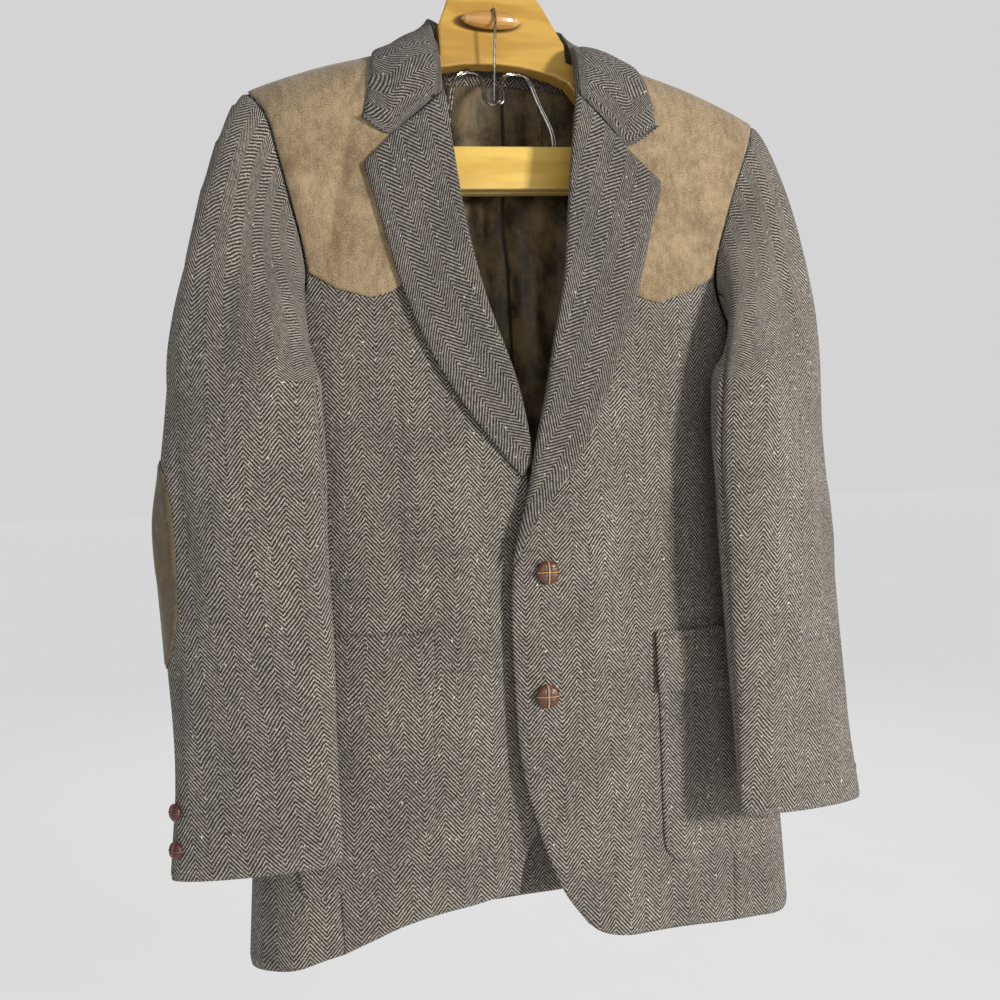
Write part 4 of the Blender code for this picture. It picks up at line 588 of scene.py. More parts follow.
# ---- curves and tables -----------------------------------------------------------------------
def column(table, key, value):
    """Smooth value of one column of a table against its first column (monotone cubic)."""
    x = table[:, 0]
    y = table[:, key]
    if x[0] > x[-1]:
        x, y = x[::-1], y[::-1]
    value = np.clip(value, x[0], x[-1])
    step = np.diff(x)
    rise = np.diff(y) / step
    slope = np.empty_like(y)
    slope[0], slope[-1] = rise[0], rise[-1]
    same = rise[:-1] * rise[1:] > 0.0
    total = np.where(same, rise[:-1] + rise[1:], 1.0)
    slope[1:-1] = np.where(same, 2.0 * rise[:-1] * rise[1:] / total, 0.0)
    i = np.clip(np.searchsorted(x, value, side="right") - 1, 0, len(x) - 2)
    t = (value - x[i]) / step[i]
    a = (1 + 2 * t) * (1 - t) ** 2 * y[i] + t * (1 - t) ** 2 * step[i] * slope[i]
    return a + t * t * (3 - 2 * t) * y[i + 1] + t * t * (t - 1) * step[i] * slope[i + 1]


def along(points, fractions, power=0.5):
    """Points at fractions of the length of a smooth curve through the given points."""
    points = np.asarray(points, float)
    first = 2 * points[0] - points[1]
    last = 2 * points[-1] - points[-2]
    p = np.vstack([first, points, last])
    fine = []
    for i in range(1, len(p) - 2):
        chord = np.maximum(np.linalg.norm(np.diff(p[i - 1:i + 3], axis=0), axis=1), 1e-9) ** power
        t0, t1, t2, t3 = np.concatenate([[0.0], np.cumsum(chord)])
        t = np.linspace(t1, t2, 13)[:, None]
        a1 = (t1 - t) / (t1 - t0) * p[i - 1] + (t - t0) / (t1 - t0) * p[i]
        a2 = (t2 - t) / (t2 - t1) * p[i] + (t - t1) / (t2 - t1) * p[i + 1]
        a3 = (t3 - t) / (t3 - t2) * p[i + 1] + (t - t2) / (t3 - t2) * p[i + 2]
        b1 = (t2 - t) / (t2 - t0) * a1 + (t - t0) / (t2 - t0) * a2
        b2 = (t3 - t) / (t3 - t1) * a2 + (t - t1) / (t3 - t1) * a3
        piece = (t2 - t) / (t2 - t1) * b1 + (t - t1) / (t2 - t1) * b2
        fine.append(piece if i == len(p) - 3 else piece[:-1])
    fine = np.vstack(fine)
    length = np.concatenate([[0.0], np.cumsum(np.linalg.norm(np.diff(fine, axis=0), axis=1))])
    length /= length[-1]
    return np.stack([np.interp(fractions, length, fine[:, k]) for k in range(fine.shape[1])], -1)


def smooth(low, high, value):
    t = np.clip((value - low) / (high - low), 0.0, 1.0)
    return t * t * (3 - 2 * t)


# ---- the body of the jacket ------------------------------------------------------------------
def unit_section(samples=400):
    """Quarter of a unit superellipse, against the fraction of its length from the centre."""
    angle = np.linspace(0.0, np.pi / 2, samples)
    power = 2.0 / SECTION_POWER
    x = np.sin(angle) ** power
    y = np.cos(angle) ** power
    y[-1] = 0.0
    length = np.concatenate([[0.0], np.cumsum(np.hypot(np.diff(x), SECTION_ASPECT * np.diff(y)))])
    return length / length[-1], x, y, length[-1]


SECTION_T, SECTION_X, SECTION_Y, SECTION_LENGTH = unit_section()


def ridge(x):
    return column(SHOULDER, 1, np.abs(x))


def turn_of(side, x, z):
    """Fraction of the way round from centre to side, signed to this side, for a distance x."""
    ratio = np.clip(np.abs(x) / column(BODY, 1, z), 0.0, 1.0)
    return np.interp(ratio, SECTION_X, SECTION_T) * np.sign(x * side)


def folds(face, x, z):
    """How far the soft folds push the cloth out of the smooth form."""
    total = np.zeros(np.broadcast(x, z).shape)
    for side, x0, z0, x1, z1, width, height in FOLDS:
        if side == face:
            run = np.clip((z0 - z) / (z0 - z1), 0.0, 1.0)
            middle = x0 + (x1 - x0) * run
            total = total + height * smooth(0.0, 0.7, run) * np.exp(-((x - middle) / width) ** 2)
    return total


def crease_rows(table, place, run):
    """Sum of tabled creases, each fading at both of its ends."""
    total = np.zeros(np.broadcast(place, run).shape)
    for x0, z0, x1, z1, width, height in table:
        share = (run - z0) / (z1 - z0)
        middle = x0 + (x1 - x0) * share
        fade = smooth(-0.10, 0.35, share) * smooth(1.10, 0.65, share)
        total = total + height * fade * np.exp(-((place - middle) / width) ** 2)
    return total


def creases(face, x, z):
    return crease_rows([row[1:] for row in CREASES if row[0] == face], x, z)


OVERLAP_LIFT = 0.0072        # the left front stands this far out where it lies over the right one
CORNER_TURN = 0.0040         # the right front's lower corner turns in this far


def overlap(side, x, z):
    """How far the fronts stand out or in where the left one lies over the right one."""
    if side == LEFT:
        return OVERLAP_LIFT * smooth(0.110, 0.030, x) * smooth(-0.290, -0.370, z)
    tucked = UNDERLAP_DIP * smooth(-0.070, -0.016, x) * smooth(-0.370, -0.450, z)
    return -CORNER_TURN * smooth(-0.045, -0.020, x) * smooth(-0.640, -0.712, z) - tucked


def body(side, face, t, z):
    """A point of the cloth's outer face: t from the centre (0) to the side (1)."""
    t, z = np.broadcast_arrays(np.asarray(t, float), np.asarray(z, float))
    half = column(BODY, 1, z)
    x = side * np.sign(t) * half * np.interp(np.abs(t), SECTION_T, SECTION_X)
    depth = column(BODY, 2 if face == FRONT else 3, z) * np.interp(np.abs(t), SECTION_T, SECTION_Y)
    drop = np.clip((ridge(x) - z) / SHOULDER_ROUND, 0.0, 1.0)
    depth = depth * np.sqrt(1.0 - (1.0 - drop) ** 2)
    push = (folds(face, x, z) + creases(face, x, z)) * smooth(1.0, 0.85, np.abs(t))
    if face == FRONT:
        push = push + overlap(side, x, z)
    return np.stack([x, face * (depth + push), z], -1)


def body_normal(side, face, t, z):
    """Outward direction of the cloth there; straight up along the shoulder seam."""
    t = np.clip(t, -0.999, 0.9985)
    crest = ridge(body(side, face, t, z)[..., 0])
    z = np.minimum(z, crest - 0.0015)
    step_t, step_z = 0.0015, 0.0010
    across = body(side, face, t + step_t, z) - body(side, face, t - step_t, z)
    down = body(side, face, t, z - step_z) - body(side, face, t, z + step_z)
    n = np.cross(across, down) * side * face
    return n / np.linalg.norm(n, axis=-1, keepdims=True)


# ---- building walls of cloth -----------------------------------------------------------------
def place(name, points, faces, look, slot, uv=None, crisp=None):
    """One named piece from points and faces, faces outwards, with its cut as a UV map."""
    mesh = bpy.data.meshes.new(name)
    mesh.from_pydata((np.asarray(points) - ORIGIN).tolist(), [], faces)
    form = bmesh.new()
    form.from_mesh(mesh)
    bmesh.ops.recalc_face_normals(form, faces=form.faces)
    if form.calc_volume(signed=True) < 0.0:
        bmesh.ops.reverse_faces(form, faces=form.faces)
    form.to_mesh(mesh)
    form.free()
    mesh.shade_smooth()
    if crisp:
        mesh.set_sharp_from_angle(angle=np.radians(crisp))
    if uv is not None:
        layer = mesh.uv_layers.new(name="Cut")
        loops = np.empty(len(mesh.loops), int)
        mesh.loops.foreach_get("vertex_index", loops)
        layer.data.foreach_set("uv", np.asarray(uv, float)[loops].ravel())
    mesh.materials.append(LOOKS[look])
    piece = bpy.data.objects.new(name, mesh)
    bpy.context.scene.collection.objects.link(piece)
    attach(piece, "root")
    return piece


def ring_faces(rings, spokes, start=0, closed=False):
    """Quads between rings of points that follow each other; a closed form joins last to first."""
    faces = []
    for k in range(rings if closed else rings - 1):
        ahead = spokes if k < rings - 1 else -k * spokes
        for s in range(spokes):
            a, b = start + k * spokes + s, start + k * spokes + (s + 1) % spokes
            faces.append((a, b, b + ahead, a + ahead))
    return faces


def finer(grid, count):
    """A smooth grid with more rows through the same points."""
    s = np.linspace(0.0, len(grid) - 1.0, count)
    i = np.clip(s.astype(int), 0, len(grid) - 2)
    t = (s - i).reshape(-1, *[1] * (grid.ndim - 1))
    padded = np.concatenate([2 * grid[:1] - grid[1:2], grid, 2 * grid[-1:] - grid[-2:-1]])
    a, b, c, d = padded[i], padded[i + 1], padded[i + 2], padded[i + 3]
    cubic = 2 * b + (c - a) * t + (2 * a - 5 * b + 4 * c - d) * t ** 2
    return 0.5 * (cubic + (3 * b - a - 3 * c + d) * t ** 3)


def refine(grid, rows, columns):
    return np.swapaxes(finer(np.swapaxes(finer(grid, rows), 0, 1), columns), 0, 1)


def edge_distance(grid):
    """Distance of each point to the nearest edge of its panel, along the cloth."""
    across = np.linalg.norm(np.diff(grid, axis=1), axis=-1)
    down = np.linalg.norm(np.diff(grid, axis=0), axis=-1)
    u = np.concatenate([np.zeros((len(grid), 1)), np.cumsum(across, axis=1)], axis=1)
    v = np.concatenate([np.zeros((1, grid.shape[1])), np.cumsum(down, axis=0)], axis=0)
    return np.minimum(np.minimum(u, u[:, -1:] - u), np.minimum(v, v[-1:] - v)), u, v


EDGE_ROLL = 0.0022           # the cloth rounds off over this much beside an edge or a seam
EDGE_EASE = 0.62             # how much of its thickness the round takes at the very edge
SLOTS = {"tweed": "tweed", "shaded_tweed": "tweed", "suede": "suede", "satin": "satin"}


def wall(name, outer, inner, look, uv=None):
    """A cloth wall between two grids of points, with its cut's size as its UV map."""
    distance, u, v = edge_distance(outer)
    if uv is None:
        uv = np.stack([u, v], -1)
    ease = EDGE_EASE * np.exp(-(distance / EDGE_ROLL) ** 2)[..., None]
    outer = outer + (inner - outer) * ease
    rows, columns = outer.shape[:2]
    count = rows * columns
    points = np.vstack([outer.reshape(-1, 3), inner.reshape(-1, 3)])
    a = (np.arange(rows - 1)[:, None] * columns + np.arange(columns - 1)).ravel()
    top = np.stack([a, a + 1, a + columns + 1, a + columns], -1)
    low = count + top[:, ::-1]
    first = np.arange(rows) * columns
    last = first + columns - 1
    head = np.arange(columns)
    tail = head + (rows - 1) * columns
    rims = []
    for line, turned in ((first, False), (last, True), (head, True), (tail, False)):
        p, q = (line[1:], line[:-1]) if turned else (line[:-1], line[1:])
        rims.append(np.stack([p, q, q + count, p + count], -1))
    faces = np.concatenate([top, low, *rims]).tolist()
    flat_uv = uv.reshape(-1, 2)
    piece = place(name + "_cloth", points, faces, look, SLOTS[look],
                  np.vstack([flat_uv, flat_uv]))
    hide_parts(name)
    return piece


CUT_CENTRE = 0.5             # the body's centre line in the pattern, which keeps it positive
CUT_ROUND = 0.35             # share of the shoulder's round that the pattern adds above the seam


def body_cut(t, z, side):
    """Pattern place of a point of the body: metres from the centre line, metres down."""
    x = np.clip(t, -1.0, 1.0) * column(BODY, 1, z) * SECTION_LENGTH
    past = np.maximum(t - 1.0, 0.0) * column(BODY, 1, z) * SECTION_LENGTH
    crest = ridge(body(side, FRONT, np.minimum(t, 1.0), z)[..., 0])
    drop = np.clip((crest - z) / SHOULDER_ROUND, 0.0, 1.0)
    down = -z + SHOULDER_ROUND * CUT_ROUND * (1 - drop) ** 2
    return np.stack([side * (x + past) + CUT_CENTRE, down], -1)


def grid_normals(grid):
    """Outward directions of a grid of points, from its own neighbours."""
    down = np.gradient(grid, axis=0)
    across = np.gradient(grid, axis=1)
    n = np.cross(across, down)
    return n / np.linalg.norm(n, axis=-1, keepdims=True)


def coons(top, low, first, last, v):
    """Grid of domain points between four edges; top and low run from first to last."""
    v = v[:, None, None]
    u = np.linspace(0.0, 1.0, len(top))[None, :, None]
    ruled = (1 - v) * top[None] + v * low[None] + (1 - u) * first[:, None] + u * last[:, None]
    corners = (1 - v) * ((1 - u) * top[0] + u * top[-1]) + v * ((1 - u) * low[0] + u * low[-1])
    return ruled - corners


def to_turn(side, points):
    """From signed or plain distances and heights to the (t, z) of the body."""
    points = np.asarray(points, float)
    return np.stack([turn_of(side, points[:, 0], points[:, 1]), points[:, 1]], -1)


def inset(points, distance):
    """Moves a boundary along the body by a distance in t, which leaves half of a seam's gap."""
    moved = points.copy()
    moved[:, 0] += distance
    return moved


def on_shoulder_seam(outer, normals, which, face):
    """Sets a panel's top row on the shoulder seam, half of the seam's gap from its middle."""
    normals[0, which, 1] = 0.0
    normals[0] /= np.linalg.norm(normals[0], axis=-1, keepdims=True)
    outer[0, which, 1] = face * SEAM


# ---- pieces of the jacket --------------------------------------------------------------------
NECK_POINT_X = 0.070         # the shoulder seam starts here
FLANGE_SHARE = 0.42          # the sleeve head's allowance, which turns in under the armhole
COLLAR_DIP = 0.34            # the collar's front end lies closer to the lapel
PATCH_WIDE = 0.092           # elbow patches, across
PATCH_POWER = 0.86           # under 1, their oval is squarer than an ellipse
YOKE_STITCH_ROWS = (0.0035, 0.0065)         # above the yoke's lower edge
STITCH_CLEAR = 0.0001        # stitches lie this far above the cloth
CUT_SHIFT = 0.0031           # the pockets' weave is set off from the front's
# ripples of the lining: x and z of the upper end, of the lower end, width, height
LINING_CREASES = [
    (-0.060, -0.030, -0.030, -0.200, 0.0090, 0.0040),
    (-0.036, -0.020, -0.050, -0.260, 0.0070, 0.0030),
    (-0.020, -0.060, -0.014, -0.300, 0.0060, 0.0034),
    (0.020, -0.020, 0.034, -0.280, 0.0080, 0.0036),
    (0.048, -0.040, 0.030, -0.240, 0.0070, 0.0030),
    (0.070, -0.050, 0.060, -0.320, 0.0090, 0.0034),
    (-0.085, -0.080, -0.070, -0.360, 0.0090, 0.0034),
]

LINING_SLACK = 0.0074        # how far the lining hangs off the back
PLEAT_X, PLEAT_WIDTH, PLEAT_RISE = 0.003, 0.010, 0.0040

GAP_T = 0.0003               # half a seam's gap in fractions of the quarter section
CENTRE_GAP_T = 0.0004        # the same at the centre back, where the section runs straight

ARM_ROWS, SEAM_ROWS = 64, 88
ARM_SHARE = 0.32             # of the front's and the back's height, down to the side body's top
ARM_V = np.linspace(0.0, 1.0, ARM_ROWS) ** 1.5      # rows lie closer over the round shoulder
SEAM_V = np.linspace(0.0, 1.0, SEAM_ROWS)
PANEL_V = np.concatenate([ARM_V * ARM_SHARE, ARM_SHARE + SEAM_V[1:] * (1.0 - ARM_SHARE)])


def side_points(side, table, fractions):
    signed = np.array(table, float)
    signed[:, 0] *= side
    return to_turn(side, along(signed, fractions))


def seam_points(side, face, hem_z):
    """The seam between a side body and its neighbour, on the rows that both share."""
    armhole = ARMHOLE[side, face]
    start = armhole[6] if face == FRONT else armhole[4]
    foot = FRONT_SEAM_FOOT if face == FRONT else BACK_SEAM_FOOT
    return side_points(side, np.vstack([[start], SIDE_SEAM[face], [[foot, hem_z]]]), SEAM_V)


def outer_points(side, face, hem_z):
    """A panel's outer edge: down its armhole and then down the seam of the side body."""
    last_knot = 7 if face == FRONT else 5
    armhole = side_points(side, ARMHOLE[side, face][:last_knot], ARM_V)
    return np.vstack([armhole[:-1], seam_points(side, face, hem_z)])


def front(side):
    """A front, from its free edge to the armhole and the seam of the side body."""
    columns = 80
    edge = RIGHT_EDGE if side == RIGHT else LEFT_EDGE
    hem = RIGHT_HEM if side == RIGHT else LEFT_HEM
    armhole = ARMHOLE[side, FRONT]
    first = to_turn(side, along(edge, PANEL_V))
    last = inset(outer_points(side, FRONT, hem[-1, 1]), -GAP_T)
    x = np.linspace(abs(edge[0, 0]), armhole[0, 0], columns) * side
    top = to_turn(side, np.stack([x, ridge(x)], -1))
    top[0], top[-1] = first[0], last[0]
    low = to_turn(side, along(hem, np.linspace(0.0, 1.0, columns)))
    low[0], low[-1] = first[-1], last[-1]
    grid = coons(top, low, first, last, PANEL_V)
    t, z = grid[..., 0], grid[..., 1]
    n = body_normal(side, FRONT, t, z)
    outer = body(side, FRONT, t, z)
    on_shoulder_seam(outer, n, np.full(columns, True), FRONT)
    wall("front_" + SIDE_NAME[side], outer, outer - n * CLOTH, "tweed", body_cut(t, z, side))


def side_body(side):
    """The narrow panel under the arm, from the front seam round the side to the back seam."""
    columns = 40
    first = seam_points(side, FRONT, SIDE_HEM[side][0, 1])
    last = seam_points(side, BACK, BACK_HEM_Z)
    first[:, 0] += GAP_T
    last[:, 0] = 2.0 - last[:, 0] - GAP_T
    arm_front = to_turn(side, ARMHOLE[side, FRONT][6:] * [side, 1])
    arm_back = to_turn(side, ARMHOLE[side, BACK][4:] * [side, 1])[::-1]
    arm_back[:, 0] = 2.0 - arm_back[:, 0]
    middle = np.array([[1.0, UNDERARM_Z - 0.002]])
    top = along(np.vstack([arm_front, middle, arm_back]), np.linspace(0.0, 1.0, columns), 1.0)
    top[0], top[-1] = first[0], last[0]
    low_t = np.linspace(first[-1, 0], last[-1, 0], columns)
    low_z = column(SIDE_HEM[side], 1, np.linspace(0.0, 1.0, columns))
    low = np.stack([low_t, low_z], -1)
    low[0], low[-1] = first[-1], last[-1]
    grid = coons(top, low, first, last, SEAM_V)
    t, z = grid[..., 0], grid[..., 1]
    behind = (t > 1.0)[..., None]
    t_back = 2.0 - t
    here = np.where(behind, body(side, BACK, t_back, z), body(side, FRONT, t, z))
    normal_front = body_normal(side, FRONT, np.minimum(t, 1.0), z)
    normal_back = body_normal(side, BACK, np.minimum(t_back, 1.0), z)
    n = np.where(behind, normal_back, normal_front)
    wall("side_body_" + SIDE_NAME[side], here, here - n * CLOTH, "tweed", body_cut(t, z, side))


def back(side):
    """Half of the back, from the centre seam to the armhole and the seam of the side body."""
    columns = 76
    rows = len(PANEL_V)
    armhole = ARMHOLE[side, BACK]
    last = inset(outer_points(side, BACK, BACK_HEM_Z), -GAP_T)
    x = np.linspace(LEFT_EDGE[0, 0], armhole[0, 0], columns) * side
    top = to_turn(side, np.stack([x, ridge(x)], -1))
    top[-1] = last[0]
    neck = BACK_NECK * [side, 1.0]
    neck = to_turn(side, neck) + [CENTRE_GAP_T, 0.0]
    centre_z = neck[0, 1] + (BACK_HEM_Z - neck[0, 1]) * PANEL_V
    centre = np.stack([np.full(rows, CENTRE_GAP_T), centre_z], -1)
    top = along(np.vstack([neck, top]), np.linspace(0.0, 1.0, columns + 4), 0.5)
    top[0], top[-1] = centre[0], last[0]
    low = np.stack([np.linspace(centre[-1, 0], last[-1, 0], columns + 4),
                    np.full(columns + 4, BACK_HEM_Z)], -1)
    grid = coons(top, low, centre, last, PANEL_V)
    t, z = grid[..., 0], grid[..., 1]
    n = body_normal(side, BACK, t, z)
    outer = body(side, BACK, t, z)
    on_shoulder_seam(outer, n, np.abs(outer[0, :, 0]) > NECK_POINT_X, BACK)
    cut = np.stack([CUT_CENTRE + side * t * column(BODY, 1, z) * SECTION_LENGTH, -z], -1)
    wall("back_" + SIDE_NAME[side], outer, outer - n * CLOTH, "tweed", cut)


LAPEL_SHARE = np.array([0.0, 0.36, 0.68, 1.0])                # columns, from the roll to the edge
LAPEL_SWELL = np.array([0.0012, 0.0006, 0.0014, 0.0030])      # how far each of them stands off
# the fold's two rows past the front's edge: their heights, and how much of those goes at the break
FOLD_NEAR, FOLD_NEAR_TUCK = 0.0040, 0.0024
FOLD_FAR, FOLD_FAR_TUCK = 0.0034, 0.0046
FOLD_STEP, FOLD_BULGE = 0.0002, 0.0016      # how far the second row passes the first


def lapel(side):
    """The lapel, from its outer edge over the chest to its fold round the front's edge."""
    rows = 24
    shape = LAPEL[side]
    v = np.linspace(0.0, 1.0, rows)
    inner = along(shape["roll"], v)
    outer_edge = along(shape["outer"], v)
    gorge = np.array([shape["gorge"][0], *along(shape["gorge"][:3], [0.5, 1.0]), shape["gorge"][3]])
    share = LAPEL_SHARE[:, None]
    bend = gorge - (gorge[0] + (gorge[-1] - gorge[0]) * share)
    fade = np.maximum(0.0, 1.0 - 2.2 * v)[:, None, None] ** 2
    grid = inner[:, None] + (outer_edge - inner)[:, None] * share + bend * fade
    x, z = grid[..., 0], grid[..., 1]
    stand_off = LAPEL_LIFT + CLOTH + LAPEL_SWELL * smooth(1.0, 0.75, v)[:, None]
    t = turn_of(side, x, z)
    flat = body(side, FRONT, t, z)
    n = body_normal(side, FRONT, t, z)
    top = flat + n * stand_off[..., None]
    # the fold: past the panel's edge and round to its inside
    toward = top[:, 0] - top[:, 1]
    toward /= np.linalg.norm(toward, axis=-1, keepdims=True)
    tuck = smooth(1.0, 0.84, v)[:, None]
    roll_1 = flat[:, 0] + toward * LAPEL_ROLL + n[:, 0] * (FOLD_NEAR - FOLD_NEAR_TUCK * tuck)
    roll_2 = flat[:, 0] + toward * (LAPEL_ROLL + FOLD_STEP + FOLD_BULGE * (1.0 - tuck))
    roll_2 = roll_2 + n[:, 0] * (FOLD_FAR - FOLD_FAR_TUCK * tuck)
    coarse = np.concatenate([roll_2[:, None], roll_1[:, None], top], axis=1)
    outer = refine(coarse, 120, 36)
    normals = grid_normals(outer)
    if normals[60, 20, 1] > 0:
        normals = -normals
    _, u, v_run = edge_distance(outer)
    cut = np.stack([u[:, -1:] - u, v_run[:, -1:] + 0.0 * u], -1)
    wall("lapel_" + SIDE_NAME[side], outer, outer - normals * CLOTH, "shaded_tweed", cut)


def clear_of_body(point, height):
    """Pushes a collar point out until it is a height clear of the round shoulder or the chest."""
    x, y, z = point
    side = RIGHT if x < 0 else LEFT
    face = FRONT if y < 0.0 else BACK
    middle = float(ridge(x)) - SHOULDER_ROUND
    level = min(z, middle)
    t = float(turn_of(side, x, level))
    depth = abs(body(side, face, t, level)[1]) + height
    if z <= middle:
        return np.array([x, face * max(abs(y), depth), z])
    reach = np.hypot(y / depth, (z - middle) / (SHOULDER_ROUND + height))
    if reach >= 1.0:
        return point
    return np.array([x, y / reach, middle + (z - middle) / reach])


def collar():
    """Stand and fall in one piece, from one front end round the neck to the other."""
    rows_half, fall = 18, 5
    share = np.linspace(0.0, 1.0, rows_half)
    halves = []
    for side in (RIGHT, LEFT):
        table = np.hstack([along(COLLAR[side][:, k:k + 3], share) for k in (0, 3, 6)])
        end = COLLAR_END[side]
        rows = []
        for r in range(rows_half):
            foot, fold, edge = table[r, :3], table[r, 3:6], table[r, 6:]
            fade = smooth(0.60, 1.0, share[r])
            middle = 0.5 * (foot + fold) + np.array([-0.0012, 0.0, 0.0])
            line = [foot, middle, fold]
            crown = fold + (edge - fold) * 0.12 + np.array([0.0, 0.0, 0.0030 * (1 - fade)])
            line.append(crown)
            for k in range(1, fall + 1):
                free = fold + (edge - fold) * (k / fall)
                free = free + np.array([0.0, 0.0, FALL_RISE * np.sin(np.pi * k / fall)])
                line.append(free)
            if fade > 0:
                flat = [end[0] + STAND_FOOT, end[0] + 0.6 * STAND_FOOT, end[0],
                        end[0] + (end[1] - end[0]) * 0.2, end[0] + (end[1] - end[0]) * 0.6,
                        end[1], 0.5 * (end[1] + end[2]), end[2], end[3]]
                line = [p + fade ** 1.5 * (np.array([q[0], p[1], q[1]]) - p) if r == rows_half - 1
                        or k > 2 else p for k, (p, q) in enumerate(zip(line, flat))]
            signed = []
            for k, p in enumerate(line):
                q = np.array([side * p[0], p[1], p[2]])
                if k >= 2:
                    low = 1.0 - COLLAR_DIP * smooth(0.72, 0.95, share[r])
                    q = clear_of_body(q, COLLAR_CLEAR[k - 2] * low)
                signed.append(q)
            rows.append(signed)
        halves.append(np.array(rows))
    grid = np.concatenate([halves[0][::-1], halves[1][1:]], axis=0)
    grid = refine(grid, 190, 42)
    normals = grid_normals(grid)
    if np.mean(normals[95, 2] * [0, 1, 0]) > 0:
        normals = -normals
    _, u, v_run = edge_distance(grid)
    cut = np.stack([v_run[:, 20:21] + 0.0 * u, u], -1)
    wall("collar", grid, grid - normals * COLLAR_CLOTH, "shaded_tweed", cut)


UPPER_RUN = 0.30             # share of the sleeve's run from the armhole to the first tabled ring
ARM_CLEAR = 0.0018           # the sleeve head starts this far off the armhole's seam
# the way the sleeve leaves that seam: forwards at the front of the armhole, its lean forwards all
# round, less of it at the underarm, and its fall at the crown
HEAD_FORWARD, HEAD_LEAN, HEAD_UNDER, HEAD_FALL, HEAD_DROP = 0.85, 0.18, 0.15, 0.15, 0.03
SIDE_REACH, UNDER_REACH = 0.14, 0.28        # what the reach gains at the sides and the underarm
UNDER_ASIDE = 0.020          # the underarm stands this far out over the first ring


def run_at(side, z):
    """Run of a sleeve's point below the upper arm, from its height."""
    top_z, low_z = SLEEVE[side][0, 0], SLEEVE[side][-1, 0]
    return UPPER_RUN + (1 - UPPER_RUN) * (z - top_z) / (low_z - top_z)


def sleeve_surface(side, turn, run):
    """A point of the sleeve: turn in half turns from the outermost line (positive towards the
    front), run from the armhole (0) over the upper arm (0.3) to the cuff (1)."""
    table = SLEEVE[side]
    turn, run = np.broadcast_arrays(np.asarray(turn, float), np.asarray(run, float))
    angle = (turn + PITCH) * np.pi

    def ring(height):
        mid_x, mid_y = column(table, 1, height), column(table, 2, height)
        wide, deep = column(table, 3, height), column(table, 4, height)
        lean = np.radians(column(table, 5, height))
        a, b = wide * np.cos(angle), -deep * np.sin(angle)
        x = mid_x + a * np.cos(lean) - b * np.sin(lean)
        y = mid_y + a * np.sin(lean) + b * np.cos(lean)
        hang = -CUFF_TILT * np.cos(angle) * smooth(-0.50, -0.66, height)
        return np.stack([side * x, y, height + hang], -1)

    top_z, low_z = table[0, 0], table[-1, 0]
    reach = np.clip((run - UPPER_RUN) / (1 - UPPER_RUN), 0.0, 1.0)
    hanging = ring(top_z + (low_z - top_z) * reach)
    # armhole: crown at turn 0, front at 0.5, underarm at 1, back at -0.5
    share = np.abs((turn + 1.0) % 2.0 - 1.0)
    arm = np.where(((turn + 1.0) % 2.0 - 1.0 >= 0.0)[..., None],
                   armhole_point(side, FRONT, share), armhole_point(side, BACK, share))
    forward = smooth(0.35, 0.70, turn % 2.0) * smooth(1.30, 0.90, turn % 2.0)
    under = smooth(0.85, 1.15, turn % 2.0) * smooth(1.75, 1.45, turn % 2.0)
    out = np.stack([side * (1.0 - HEAD_FORWARD * forward),
                    -HEAD_LEAN - HEAD_FORWARD * forward + HEAD_UNDER * under,
                    -HEAD_FALL * np.cos(turn * np.pi) - HEAD_DROP], -1)
    out /= np.linalg.norm(out, axis=-1, keepdims=True)
    arm = arm + out * ARM_CLEAR
    ring_top = ring(np.full(turn.shape, top_z))
    span = np.linalg.norm(ring_top - arm, axis=-1, keepdims=True)
    sides = 0.5 - 0.5 * np.cos(turn * np.pi)
    p1 = arm + out * span * (CROWN_REACH + SIDE_REACH * sides + UNDER_REACH * under)[..., None]
    aside = np.stack([side * UNDER_ASIDE * under, 0.0 * under, 0.0 * under], -1)
    p2 = ring_top + np.array([0.0, 0.0, 1.0]) * span * ARM_FALL + aside
    s = np.clip(run / UPPER_RUN, 0.0, 1.0)[..., None]
    head = (1 - s) ** 3 * arm + 3 * s * (1 - s) ** 2 * p1 + 3 * s * s * (1 - s) * p2
    head = head + s ** 3 * ring_top
    place_now = np.where((run < UPPER_RUN)[..., None], head, hanging)
    lines = crease_rows(ARM_CREASES, turn, run) + crease_rows(ARM_CREASES, turn - 2.0, run)
    lines = lines * smooth(0.02, 0.12, run)
    away = np.stack([side * np.cos(angle), -np.sin(angle), 0.0 * angle], -1)
    return place_now + away * lines[..., None]


def armhole_point(side, face, share):
    """A point of the armhole seam, share 0 at the shoulder to 1 at the underarm."""
    table = ARMHOLE[side, face].copy()
    table[:, 0] *= side
    turns = to_turn(side, along(table, np.linspace(0.0, 1.0, 41)))
    turns = np.vstack([turns, [[1.0, UNDERARM_Z]]])
    turns[:, 0] = np.minimum(turns[:, 0], 1.0)
    points = body(side, face, turns[:, 0], turns[:, 1])
    length = np.concatenate([[0.0], np.cumsum(np.linalg.norm(np.diff(points, axis=0), axis=1))])
    length /= length[-1]
    return np.stack([np.interp(share, length, points[:, k]) for k in range(3)], -1)


def sleeve_normals(side, turn, run):
    h = 0.004
    across = sleeve_surface(side, turn + h, run) - sleeve_surface(side, turn - h, run)
    ahead = sleeve_surface(side, turn, np.clip(run + h, 0, 1))
    down = ahead - sleeve_surface(side, turn, np.clip(run - h, 0, 1))
    n = np.cross(across, down) * side
    return n / np.linalg.norm(n, axis=-1, keepdims=True)


SLEEVE_RUNS = np.concatenate([np.linspace(0.0, UPPER_RUN, 46)[:-1],
                              np.linspace(UPPER_RUN, 1.0, 84)])
SEAM_TURN = 0.0030           # half a seam's gap in half turns


